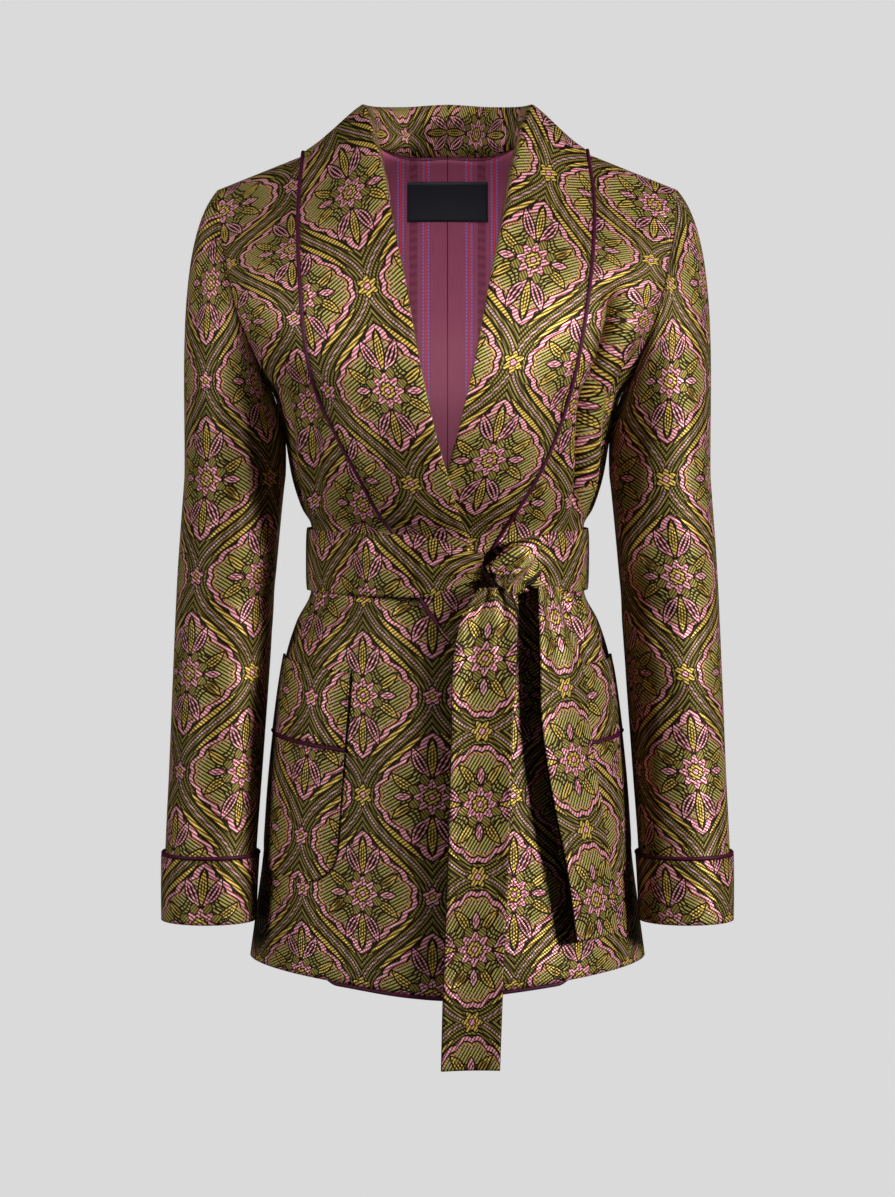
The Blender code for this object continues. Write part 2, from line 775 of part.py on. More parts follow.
def pocket_point(side, along, down, out):
    """Point of a pocket from its flat measures: along its top edge and down its side."""
    level = POCKET_TOP + along * math.sin(POCKET_TILT) - down * math.cos(POCKET_TILT)
    walk = POCKET_START + along * math.cos(POCKET_TILT) + down * math.sin(POCKET_TILT)
    place = place_of(level)
    swell = math.sin(math.pi * min(max(along / POCKET_WIDTH, 0.0), 1.0)) ** 0.7
    fall = 1.0 - 0.5 * down / POCKET_HEIGHT
    return front_point(side, arc_angle(place, walk), place, out + POCKET_PUFF * swell * fall)


def make_pocket(name, side, material):
    columns = 9
    rows = 8
    top = POCKET_BAND + 2.0 * (SEAM_GAP + PIPING_RADIUS)
    steps = (1.0, 0.975, 0.93, 0.86, 0.78, 0.62, 0.42, 0.20, 0.0)

    def place(column, row):
        down = mix(top, POCKET_HEIGHT, steps[int(round(row))])
        bite = max(0.0, down - POCKET_HEIGHT + POCKET_ROUND)
        inset = POCKET_ROUND - math.sqrt(max(POCKET_ROUND ** 2 - bite ** 2, 0.0))
        along = mix(inset, POCKET_WIDTH - inset, column / columns)
        return pocket_point(side, along, down, SEAM_GAP + CLOTH)

    return sheet(name, columns, rows, place, CLOTH, material, turn_over=side == RIGHT)


def make_pocket_band(name, side, material):
    columns = 9
    rows = 3

    def place(column, row):
        down = mix(POCKET_BAND, 0.0, row / rows)
        return pocket_point(side, POCKET_WIDTH * column / columns, down, SEAM_GAP + BAND_CLOTH)

    return sheet(name, columns, rows, place, BAND_CLOTH, material, turn_over=side == RIGHT)


def make_pocket_piping(name, side, material):
    down = POCKET_BAND + SEAM_GAP + PIPING_RADIUS
    points = []
    for index in range(10):
        along = POCKET_WIDTH * index / 9.0
        points.append(pocket_point(side, along, down, SEAM_GAP * 1.5 + PIPING_RADIUS))
    return cord(name, points, PIPING_RADIUS, material)


def belt_out(across):
    """How far the belt stands off the body: over the lapels it lies on all the layers."""
    if across < 0.0:
        share = (BELT_RIGHT_CLEAR + across) / (BELT_RIGHT_CLEAR - BELT_RIGHT_FULL)
    else:
        share = (BELT_LEFT_CLEAR - across) / (BELT_LEFT_CLEAR - BELT_LEFT_FULL)
    return BELT_BASE + BELT_STACK * soft_step(share)


def belt_point(angle, rise, out):
    """Point of the belt; angle is signed from centre front, rise counted from its middle."""
    point = bare_point(abs(angle), BELT_PLACE)
    normal = bare_normal(abs(angle), BELT_PLACE)
    point.x *= 1.0 if angle > 0.0 else -1.0
    normal.x *= 1.0 if angle > 0.0 else -1.0
    away = belt_out(point.x) if abs(angle) < 90.0 else BELT_BASE
    point += normal * (away + out)
    point.z += rise
    return point


def make_belt(name, start, stop, columns, pinch_at, material):
    """One stretch of the belt; where it runs into the knot its height is gathered."""
    rows = 3

    def place(column, row):
        angle = mix(start, stop, column / columns)
        half = BELT_HALF
        if pinch_at is not None:
            half *= mix(0.42, 1.0, soft_step((abs(angle - pinch_at) - 2.0) / 26.0))
        return belt_point(angle, mix(-half, half, row / rows), BELT_CLOTH)

    return sheet(name, columns, rows, place, BELT_CLOTH, material)


def make_long_tail(name, material):
    columns = 5
    rows = 20

    def place(column, row):
        height = mix(LONG_TAIL[0].height, LONG_TAIL[-1].height, row / rows)
        tail = long_tail_at(height)
        across = mix(-1.0, 1.0, column / columns)
        front = ring_at(place_of(max(height, RINGS[0].level))).front
        bow = 0.0035 * across * across
        return Vector((tail.across + tail.half * across, -front - tail.lift + bow, height))

    return sheet(name, columns, rows, place, BELT_CLOTH, material)


def make_short_tail(name, material):
    columns = 5
    rows = 16

    def place(column, row):
        height = mix(SHORT_TAIL[0].height, SHORT_TAIL[-1].height, row / rows)
        tail = short_tail_at(height)
        along = place_of(height)
        speed = math.degrees(1.0 / math.hypot(ring_at(along).width * 0.72, ring_at(along).front * 0.69))
        across = mix(-1.0, 1.0, column / columns)
        angle = angle_for(tail.across, along) + tail.half * across * speed
        point = bare_point(angle, along)
        return point + bare_normal(angle, along) * (tail.lift + 0.0015 * across * across)

    return sheet(name, columns, rows, place, BELT_CLOTH, material)


def make_knot(name, material):
    """Rolled loop of the tie, a flattened tube that opens towards the wearer's left."""
    rows = len(KNOT) - 1
    first, last = KNOT[0], KNOT[-1]
    axis = Vector((last.across - first.across, first.deep - last.deep, last.height - first.height)).normalized()
    up = Vector((0.0, 0.0, 1.0))
    up = (up - axis * up.dot(axis)).normalized()
    front = axis.cross(up)

    def place(column, row):
        knot = KNOT[int(round(row))]
        turn = column / KNOT_SEGMENTS * 2.0 * math.pi
        centre = Vector((knot.across, -knot.deep, knot.height))
        return (
            centre
            + up * knot.radius * math.sin(turn)
            + front * knot.radius * knot.flat * math.cos(turn)
        )

    return sheet(name, KNOT_SEGMENTS, rows, place, BELT_CLOTH, material, turn_over=True, weld=True)


clear_objects()
JACKET = bpy.data.collections.new("belted_jacket")
bpy.context.scene.collection.children.link(JACKET)

PATTERNED = cloth_material("patterned_cloth", (0.16, 0.13, 0.03), 0.5)
PIPED = cloth_material("piping_cord", (0.07, 0.01, 0.03), 0.55)
SATIN = cloth_material("lining_satin", (0.26, 0.06, 0.10), 0.4)
PLAIN_LABEL = cloth_material("label_cloth", (0.02, 0.02, 0.03), 0.6)

make_back("back", PATTERNED)
make_lining("lining_back", SATIN)
make_label("label", PLAIN_LABEL)
for side_name, wearer_side in (("right", RIGHT), ("left", LEFT)):
    make_front("front_" + side_name, wearer_side, PATTERNED)
    make_collar("collar_" + side_name, wearer_side, PATTERNED)
    make_collar_piping("collar_piping_" + side_name, wearer_side, PIPED)
    make_edge_piping("edge_piping_" + side_name, wearer_side, PIPED)
    make_sleeve("sleeve_" + side_name, wearer_side, PATTERNED)
    make_cuff("cuff_" + side_name, wearer_side, PATTERNED)
    make_cuff_piping("cuff_piping_" + side_name, wearer_side, PIPED)
    make_pocket("pocket_" + side_name, wearer_side, PATTERNED)
    make_pocket_band("pocket_band_" + side_name, wearer_side, PATTERNED)
    make_pocket_piping("pocket_piping_" + side_name, wearer_side, PIPED)
make_belt("belt_back", 97.0, 263.0, 22, None, PATTERNED)
make_belt("belt_right", -96.6, 13.0, 18, 16.0, PATTERNED)
make_belt("belt_left", 24.0, 96.6, 12, 20.0, PATTERNED)
make_long_tail("belt_tail_long", PATTERNED)
make_short_tail("belt_tail_short", PATTERNED)
make_knot("belt_knot", PATTERNED)
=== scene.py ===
import math
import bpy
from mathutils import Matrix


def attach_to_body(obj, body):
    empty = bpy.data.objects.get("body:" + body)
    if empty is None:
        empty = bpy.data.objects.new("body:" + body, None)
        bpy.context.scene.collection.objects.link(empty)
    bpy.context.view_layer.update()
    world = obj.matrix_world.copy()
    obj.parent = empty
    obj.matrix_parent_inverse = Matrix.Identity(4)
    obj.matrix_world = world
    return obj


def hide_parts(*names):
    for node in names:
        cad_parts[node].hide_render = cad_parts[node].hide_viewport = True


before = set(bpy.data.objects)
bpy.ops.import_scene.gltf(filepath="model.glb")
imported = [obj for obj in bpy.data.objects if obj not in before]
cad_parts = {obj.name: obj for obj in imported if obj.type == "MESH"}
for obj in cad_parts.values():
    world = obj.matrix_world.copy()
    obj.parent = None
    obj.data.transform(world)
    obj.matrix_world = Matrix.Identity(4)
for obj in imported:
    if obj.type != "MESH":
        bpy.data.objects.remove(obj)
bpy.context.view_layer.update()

from types import SimpleNamespace

import bpy
import numpy as np
from mathutils import Vector

print("frame loaded:", len(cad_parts), "solids")

wearerRight, wearerLeft = -1, 1
sideNames = {wearerRight: "Right", wearerLeft: "Left"}


# small tools for lofting cloth

def softStep(value):
    value = np.clip(value, 0.0, 1.0)
    return value * value * (3.0 - 2.0 * value)


def mix(first, second, share):
    return first + (second - first) * share


def unit(vectors):
    return vectors / np.maximum(np.linalg.norm(vectors, axis=-1, keepdims=True), 1e-12)


def hermite(t, first, last, leaving, arriving):  # cubic from one point to the next
    found = (2 * t**3 - 3 * t**2 + 1) * first + (t**3 - 2 * t**2 + t) * leaving
    return found + (3 * t**2 - 2 * t**3) * last + (t**3 - t**2) * arriving


class Loft:  # smooth curve through a table, without overshoot
    def __init__(self, columns, rows, places=None, flat=()):
        self.columns = columns
        self.values = np.array(rows, float)
        self.places = self.values[:, 0] if places is None else np.array(places, float)
        rises = np.diff(self.values, axis=0) / np.diff(self.places)[:, None]
        before, after = rises[:-1], rises[1:]
        turning = before * after <= 0.0
        total = np.where(turning, 1.0, before + after)
        middle = np.where(turning, 0.0, 2.0 * before * after / total)
        self.slopes = np.vstack([rises[:1], middle, rises[-1:]])
        for name in flat:
            self.slopes[-1, columns.index(name)] = 0.0

    def __call__(self, place):
        place = np.clip(np.asarray(place, float), self.places[0], self.places[-1])
        low = np.clip(np.searchsorted(self.places, place, side="right") - 1, 0, len(self.places) - 2)
        span = (self.places[low + 1] - self.places[low])[..., None]
        t = (place - self.places[low])[..., None] / span
        leaving, arriving = span * self.slopes[low], span * self.slopes[low + 1]
        found = hermite(t, self.values[low], self.values[low + 1], leaving, arriving)
        return SimpleNamespace(**dict(zip(self.columns, np.moveaxis(found, -1, 0))))


def spline(points, parts):  # smooth curve through the first axis of a block of points
    steps = np.linalg.norm(np.diff(points, axis=0), axis=-1, keepdims=True) + 1e-6
    rises = np.diff(points, axis=0) / steps
    inner = (rises[:-1] * steps[1:] + rises[1:] * steps[:-1]) / (steps[:-1] + steps[1:])
    slopes = np.concatenate([rises[:1], inner, rises[-1:]])
    leaving, arriving = steps * slopes[:-1], steps * slopes[1:]
    shares = np.linspace(0.0, 1.0, parts + 1)[:-1]
    rows = [hermite(t, points[:-1], points[1:], leaving, arriving) for t in shares]
    fine = np.stack(rows, 1).reshape(-1, *points.shape[1:])
    return np.concatenate([fine, points[-1:]])


def walked(points, axis):  # distance along one axis of a grid of points
    steps = np.linalg.norm(np.diff(points, axis=axis), axis=-1)
    start = np.zeros_like(np.take(steps, [0], axis))
    return np.concatenate([start, np.cumsum(steps, axis)], axis)


def halved(shape, low, high, below, times=40):  # where a test turns false, by halving the range
    low, high = np.full(shape, low), np.full(shape, high)
    for _ in range(times):
        middle = (low + high) / 2.0
        under = below(middle)
        low, high = np.where(under, middle, low), np.where(under, high, middle)
    return (low + high) / 2.0


def grid(columns, rows):
    return np.meshgrid(np.linspace(0.0, 1.0, columns + 1), np.linspace(0.0, 1.0, rows + 1))


def fullTurn(steps):
    return np.arange(steps) / steps * 2.0 * math.pi


def closedRing(columns):  # repeats the first column at the end
    return np.concatenate([columns, columns[:, :1]], 1)


def quads(index):
    return np.stack([index[:-1, :-1], index[:-1, 1:], index[1:, 1:], index[1:, :-1]], -1).reshape(-1, 4)


# the body that all panels are cut on

bodyForm = {
    "columns": ("level", "width", "front", "back", "drop", "arm"),
    "rings": (
        (-0.7075, 0.1725, 0.1300, 0.1180, -0.0155, 90.0), (-0.6550, 0.1670, 0.1275, 0.1170, -0.0040, 90.0),
        (-0.6000, 0.1605, 0.1240, 0.1150, 0.0000, 90.0), (-0.5400, 0.1560, 0.1205, 0.1120, 0.0000, 90.0),
        (-0.4800, 0.1490, 0.1155, 0.1060, 0.0000, 90.0), (-0.4300, 0.1405, 0.1090, 0.0980, 0.0000, 90.0),
        (-0.4000, 0.1310, 0.1020, 0.0900, 0.0000, 90.0), (-0.3750, 0.1188, 0.0947, 0.0782, 0.0000, 90.0),
        (-0.3460, 0.1168, 0.0927, 0.0763, 0.0000, 90.0), (-0.3175, 0.1182, 0.0943, 0.0778, 0.0000, 90.0),
        (-0.3020, 0.1265, 0.1040, 0.0870, 0.0000, 90.0), (-0.2750, 0.1350, 0.1150, 0.0945, 0.0000, 90.0),
        (-0.2350, 0.1420, 0.1235, 0.1010, 0.0000, 90.0), (-0.2050, 0.1500, 0.1265, 0.1050, 0.0000, 90.0),
        (-0.1850, 0.1640, 0.1260, 0.1060, 0.0020, 76.0), (-0.1600, 0.1800, 0.1225, 0.1060, 0.0060, 68.0),
        (-0.1100, 0.2020, 0.1100, 0.1020, 0.0200, 63.5), (-0.0550, 0.2100, 0.0840, 0.0900, 0.0430, 64.0),
        (-0.0050, 0.2135, 0.0480, 0.0640, 0.0640, 66.0), (0.0455, 0.2160, 0.0000, 0.0000, 0.0800, 66.5),
    ),
    "shoulderRounding": 0.08,
    "armpitLevel": -0.2050,
    "clothWall": 0.0016,
    "sideGap": 0.0001,
    "shoulderGap": 0.0004,
    "frontEdge": -0.0205,
    "breakLevel": -0.4370,
    "overlapLift": 0.0112,
    "overlapClear": 0.092,
    "overlapFull": 0.030,
    "overlapLow": -0.230,
    "overlapHigh": -0.120,
    "rowLevels": (
        -0.7075, -0.660, -0.610, -0.555, -0.500, -0.455, -0.425, -0.400, -0.375, -0.346, -0.3175, -0.300,
        -0.275, -0.240, -0.205, -0.186, -0.163, -0.135, -0.105, -0.075, -0.045, -0.017, 0.008, 0.027,
    ),
    "shoulderRows": (0.017, 0.007, 0.0),
    "breakRow": 6,
    "creaseFade": 6.0,  # each end fades over the crease's length divided by this
    "probe": (0.4, 0.0012),  # degrees round and metres up, to find which way the cloth faces
}

ringRows = np.array(bodyForm["rings"])
ringPlaces = np.concatenate([[0.0], np.cumsum(np.hypot(np.diff(ringRows[:, 0]), np.diff(ringRows[:, 2])))])
topPlace = ringPlaces[-1]
ringAt = Loft(bodyForm["columns"], ringRows, ringPlaces, ("level", "drop", "width"))


def placeOf(level):
    level = np.asarray(level, float)
    return halved(level.shape, 0.0, topPlace, lambda place: ringAt(place).level < level)


armpitPlace = float(placeOf(bodyForm["armpitLevel"]))
rowPlaces = np.concatenate([placeOf(bodyForm["rowLevels"]), topPlace - np.array(bodyForm["shoulderRows"])])

# creases, given one by one: angle and level at the top, angle and level at the low end, spread, depth
bodyCreases = {
    wearerRight: (
        (50.0, -0.170, 60.0, -0.314, 5.0, -0.0036), (60.0, -0.215, 70.0, -0.316, 3.6, 0.0028),
        (66.0, -0.190, 80.0, -0.316, 3.6, -0.0034), (45.0, -0.262, 50.0, -0.318, 3.0, -0.0022),
        (62.0, -0.366, 66.0, -0.420, 3.0, -0.0020), (72.0, -0.366, 78.0, -0.425, 3.0, -0.0022),
        (30.0, -0.420, 31.0, -0.700, 9.0, -0.0022), (8.0, -0.430, 5.0, -0.690, 7.0, 0.0014),
        (110.0, -0.220, 117.0, -0.318, 5.0, -0.0036), (128.0, -0.235, 131.0, -0.318, 4.5, 0.0028),
        (147.0, -0.240, 150.0, -0.318, 5.0, -0.0032), (165.0, -0.255, 168.0, -0.318, 4.0, 0.0022),
        (118.0, -0.366, 121.0, -0.455, 4.0, -0.0026), (137.0, -0.385, 138.0, -0.690, 12.0, -0.0034),
        (160.0, -0.366, 162.0, -0.470, 4.5, -0.0026),
    ),
    wearerLeft: (
        (43.0, -0.075, 62.0, -0.316, 3.4, -0.0145), (52.0, -0.110, 71.0, -0.312, 4.2, 0.0045),
        (61.5, -0.150, 81.0, -0.312, 4.0, -0.0060), (40.0, -0.245, 47.0, -0.318, 3.5, -0.0026),
        (52.0, -0.366, 63.0, -0.460, 3.0, -0.0030), (60.0, -0.366, 74.0, -0.445, 2.8, 0.0024),
        (66.0, -0.366, 84.0, -0.440, 2.8, -0.0030), (28.0, -0.385, 29.0, -0.700, 8.0, -0.0032),
        (108.0, -0.215, 114.0, -0.318, 5.0, -0.0038), (124.0, -0.245, 127.0, -0.318, 4.0, 0.0026),
        (139.0, -0.225, 146.0, -0.318, 5.0, -0.0034), (160.0, -0.250, 163.0, -0.318, 5.0, 0.0026),
        (112.0, -0.366, 117.0, -0.450, 4.0, -0.0028), (128.0, -0.366, 131.0, -0.480, 4.5, 0.0026),
        (140.0, -0.385, 141.0, -0.690, 12.0, -0.0032),
    ),
}
bodyFolds = {  # the same columns, with a shift round the body in degrees for the depth
    wearerRight: (),
    wearerLeft: ((46.2, -0.075, 65.2, -0.316, 3.0, -3.4),),
}


def creased(table, side, angle, level):
    depth = np.zeros(np.broadcast(angle, level).shape)
    for topAngle, top, lowAngle, low, spread, deep in table[side]:
        along = np.clip((level - low) / (top - low), 0.0, 1.0)
        fade = softStep(along * bodyForm["creaseFade"]) * softStep((1.0 - along) * bodyForm["creaseFade"])
        reach = (angle - mix(lowAngle, topAngle, along)) / spread
        depth = depth + deep * fade * np.exp(-reach * reach)
    return depth


def barePoint(angle, place):
    ring = ringAt(place)
    sine, cosine = np.sin(np.radians(angle)), np.cos(np.radians(angle))
    rounding = bodyForm["shoulderRounding"]
    edge = math.sqrt(1.0 + rounding ** 2) - rounding
    sink = (np.sqrt(sine * sine + rounding ** 2) - rounding) / edge
    depth = np.where(cosine > 0.0, ring.front, ring.back)
    parts = np.broadcast_arrays(ring.width * sine, -depth * cosine, ring.level - ring.drop * sink)
    return np.stack(parts, -1)


def bareNormal(angle, place):
    turn, step = bodyForm["probe"]
    across = barePoint(angle + turn, place) - barePoint(angle - turn, place)
    high, low = np.minimum(place + step, topPlace), np.maximum(place - step, 0.0)
    return unit(np.cross(across, barePoint(angle, high) - barePoint(angle, low)))


def mirrored(points, side):
    return points * np.array((side, 1.0, 1.0))


def bodyPoint(side, angle, place, out):
    level = ringAt(place).level
    push = np.asarray(out + creased(bodyCreases, side, angle, level))
    angle = angle + creased(bodyFolds, side, angle, level)
    return mirrored(barePoint(angle, place) + bareNormal(angle, place) * push[..., None], side)


def frontPoint(side, angle, place, out):
    if side == wearerRight:
        form, ring = bodyForm, ringAt(place)
        across = ring.width * np.sin(np.radians(angle))
        share = softStep((form["overlapClear"] - across) / (form["overlapClear"] - form["overlapFull"]))
        rise = softStep((form["overlapHigh"] - ring.level) / (form["overlapHigh"] - form["overlapLow"]))
        out = out + form["overlapLift"] * share * rise
    return bodyPoint(side, angle, place, out)


def angleFor(across, place):
    return np.degrees(np.arcsin(np.clip(across / ringAt(place).width, -1.0, 1.0)))


def sideLimit(place):
    ring = ringAt(place)
    turn = np.radians(ring.arm)
    pace = np.hypot(ring.width * np.cos(turn), ring.front * np.sin(turn))
    return ring.arm - np.degrees(bodyForm["sideGap"] / pace)


def panelPlace(place, end):  # above the armpit, a panel is stretched to its end
    share = (place - armpitPlace) / (topPlace - armpitPlace)
    return np.where(place > armpitPlace, mix(armpitPlace, end, share), place)


def shoulderEnd(angle):
    return topPlace - bodyForm["shoulderGap"] / np.cos(np.radians(angle))


def roundArc(angle, place, back=False):  # distance round a section from its centre line
    ring = ringAt(place)
    depth = (ring.back if back else ring.front)[..., None]
    share = np.linspace(0.0, 1.0, 17)
    turn = np.radians(np.asarray(angle)[..., None] * share)
    pace = np.hypot(ring.width[..., None] * np.cos(turn), depth * np.sin(turn))
    mean = ((pace[..., 1:] + pace[..., :-1]) / 2.0).mean(-1)
    return mean * np.radians(angle)


# shader maths: one wrapped socket, with operators

class Flow:
    def __init__(self, tree, socket=None):
        self.tree, self.socket = tree, socket

    def node(self, kind, settings=None, inputs=None, out=0):
        made = self.tree.nodes.new(kind)
        for name, value in (settings or {}).items():
            setattr(made, name, value)
        for name, value in (inputs or {}).items():
            if isinstance(value, Flow):
                self.tree.links.new(value.socket, made.inputs[name])
            else:
                made.inputs[name].default_value = value
        return Flow(self.tree, made.outputs[out])

    def math(self, operation, *values, clamp=False):
        settings = {"operation": operation, "use_clamp": clamp}
        return self.node("ShaderNodeMath", settings, dict(enumerate(values)))

    def __add__(self, other):
        return self.math("ADD", self, other)

    def __radd__(self, other):
        return self.math("ADD", other, self)

    def __sub__(self, other):
        return self.math("SUBTRACT", self, other)

    def __rsub__(self, other):
        return self.math("SUBTRACT", other, self)

    def __mul__(self, other):
        return self.math("MULTIPLY", self, other)

    def __rmul__(self, other):
        return self.math("MULTIPLY", other, self)

    def __truediv__(self, other):
        return self.math("DIVIDE", self, other)

    def __abs__(self):
        return self.math("ABSOLUTE", self)

    def sin(self):
        return self.math("SINE", self)

    def cos(self):
        return self.math("COSINE", self)

    def root(self):
        return self.math("SQRT", self)

    def fraction(self):
        return self.math("FRACT", self)

    def over(self, limit):
        return self.math("GREATER_THAN", self, limit)

    def atLeast(self, limit):
        return self.math("MAXIMUM", self, limit)

    def atMost(self, limit):
        return self.math("MINIMUM", self, limit)

    def edge(self, soft=0.35):
        return self.math("MULTIPLY_ADD", self, 1.0 / soft, 0.5, clamp=True)

    def wave(self, pitch):
        return (self * (2.0 * math.pi / pitch)).sin() * 0.5 + 0.5

    def folded(self, pitch):
        return ((self / pitch + 0.5).fraction() - 0.5) * pitch

    def turnOf(self, other):
        return self.math("ARCTAN2", self, other)

    def blend(self, first, second):  # self is the share of the second colour
        return self.node("ShaderNodeMix", {"data_type": "RGBA"}, {0: self, 6: first, 7: second}, 2)

    def noise(self, scale, detail):
        return self.node("ShaderNodeTexNoise", None, {"Vector": self, "Scale": scale, "Detail": detail})

    def bump(self, strength, distance):
        return self.node("ShaderNodeBump", None, {"Strength": strength, "Distance": distance, "Height": self})


def tint(code):
    parts = [int(code[i:i + 2], 16) / 255.0 for i in (0, 2, 4)]
    return (*[c / 12.92 if c <= 0.04045 else ((c + 0.055) / 1.055) ** 2.4 for c in parts], 1.0)


def newMaterial(name, sockets):
    material = bpy.data.materials.new(name)
    material.use_nodes = True
    shader = material.node_tree.nodes["Principled BSDF"]
    for socket, value in sockets.items():
        shader.inputs[socket].default_value = value
    return material, Flow(material.node_tree), shader


def attach(flow, shader, links):
    for name, value in links.items():
        flow.tree.links.new(value.socket, shader.inputs[name])


def flatPlace(flow):  # place on the uncut cloth in millimetres
    spot = flow.node("ShaderNodeUVMap", {"uv_map": "flatCloth"})
    return [flow.node("ShaderNodeSeparateXYZ", None, {0: spot}, i) * 1000.0 for i in (0, 1)]


def objectPlace(flow):
    return flow.node("ShaderNodeTexCoord", None, None, 3)


# woven cloth: an ogee lattice with a round flower and leaves in each cell, and small flowers at the crossings

wovenLook = {  # sizes in millimetres
    "repeatWide": 122.0,
    "repeatTall": 168.0,
    "contour": (3.4, 0.05),  # pitch, and how much is left light
    "echo": (4.1, 0.2, 1.9, 27.0, 6.5),  # the same, sway with the petals, reach, distance from the frame
    "latticeHalf": 0.9,
    "sickle": (14.0, 42.0, 7.6, 2.0),  # start, length, distance from the lattice, half width
    "frame": (15.5, 1.7),  # distance from the lattice, half width
    "frameLine": (4.4, 0.75),  # distance inside the frame, half width
    "beads": (8.0, 5.2, 1.3),  # distance inside the frame, pitch, radius
    "scallop": (14.0, 3.0),  # pitch, depth
    "outline": 1.5,
    "thinOutline": 1.0,
    "leaves": (  # root across and up, lean from upright, length, half width, curve, yarn
        (2.0, 17.0, 30.0, 27.0, 4.2, 6.0, "pink"), (0.0, 17.0, 0.0, 31.0, 3.2, 0.0, "gold"),
        (14.0, 6.0, 56.0, 22.0, 3.4, 6.0, "gold"), (17.0, 0.0, 90.0, 14.0, 2.8, 0.0, "pink"),
    ),
    "leafRim": 1.3,
    "midrib": (0.7, 1.0),  # half width, distance from the leaf's edge
    "petals": 8.0,
    "calyx": (16.5, 3.4),  # radius, swing
    "bloom": (12.0, 2.6),
    "petalLines": (1.7, 11.5),  # half width, reach
    "eye": (6.0, 0.8),
    "eyeHeart": 2.4,
    "smallFlowers": (  # petals, radius, heart, yarns
        (6.0, 7.4, 2.6, "gold", "pink"), (5.0, 6.2, 2.2, "pink", "gold"),
    ),
    "smallSwing": 0.26,
    "smallOutline": 0.9,
    "dark": "160904",
    "ground": ("1c0d06", "b6b066"),  # each yarn from the low to the high side of its twill
    "field": ("4e401c", "9a9150"),
    "pink": ("a03860", "f6c4d2"),
    "gold": ("644410", "e8d070"),
    "peach": ("945836", "deaa7e"),
    "lilac": ("765458", "c8a8aa"),
    "rib": (0.80, 0.60, 2.3),  # share across and up, pitch
    "hatch": (0.50, 0.87, 2.7, 0.46, 0.5),  # the same, share left dark, softness
    "roughDark": 0.52,
    "roughYarn": 0.36,
    "silk": 0.26,
    "gloss": (0.22, "f4e0b0"),
    "warmth": (1.0, 0.92, 0.80),  # cast of the whole cloth
}


class Paint:  # layers of woven colour, and the share of bright yarn in the top one
    def __init__(self, colour, bright, dark):
        self.colour, self.bright, self.dark = colour, bright, dark

    def lay(self, mask, colour, bright=1.0):
        self.colour = mask.blend(self.colour, colour)
        self.bright = self.bright + (bright - self.bright) * mask

    def darken(self, mask):
        self.lay(mask, self.dark, 0.0)

    def shape(self, inside, colour, outline):  # filled shape with a dark woven outline
        self.darken((inside + outline).edge())
        self.lay(inside.edge(), colour)


def line(distance, half):
    return half - abs(distance)


def stripes(distance, pitch, share):  # soft dark lines of one pitch
    return ((distance * (2.0 * math.pi / pitch)).sin() - share).edge(0.7)


def leafShape(across, up, root, lean, length, half, curve):  # positive inside the leaf, and its midrib
    aside, above = math.sin(math.radians(lean)), math.cos(math.radians(lean))
    x, y = across - root[0], up - root[1]
    along = (x * aside + y * above) / length
    belly = along * (1.0 - along)
    off = x * above - y * aside - belly * curve
    return belly * (4.0 * half) - abs(off), off


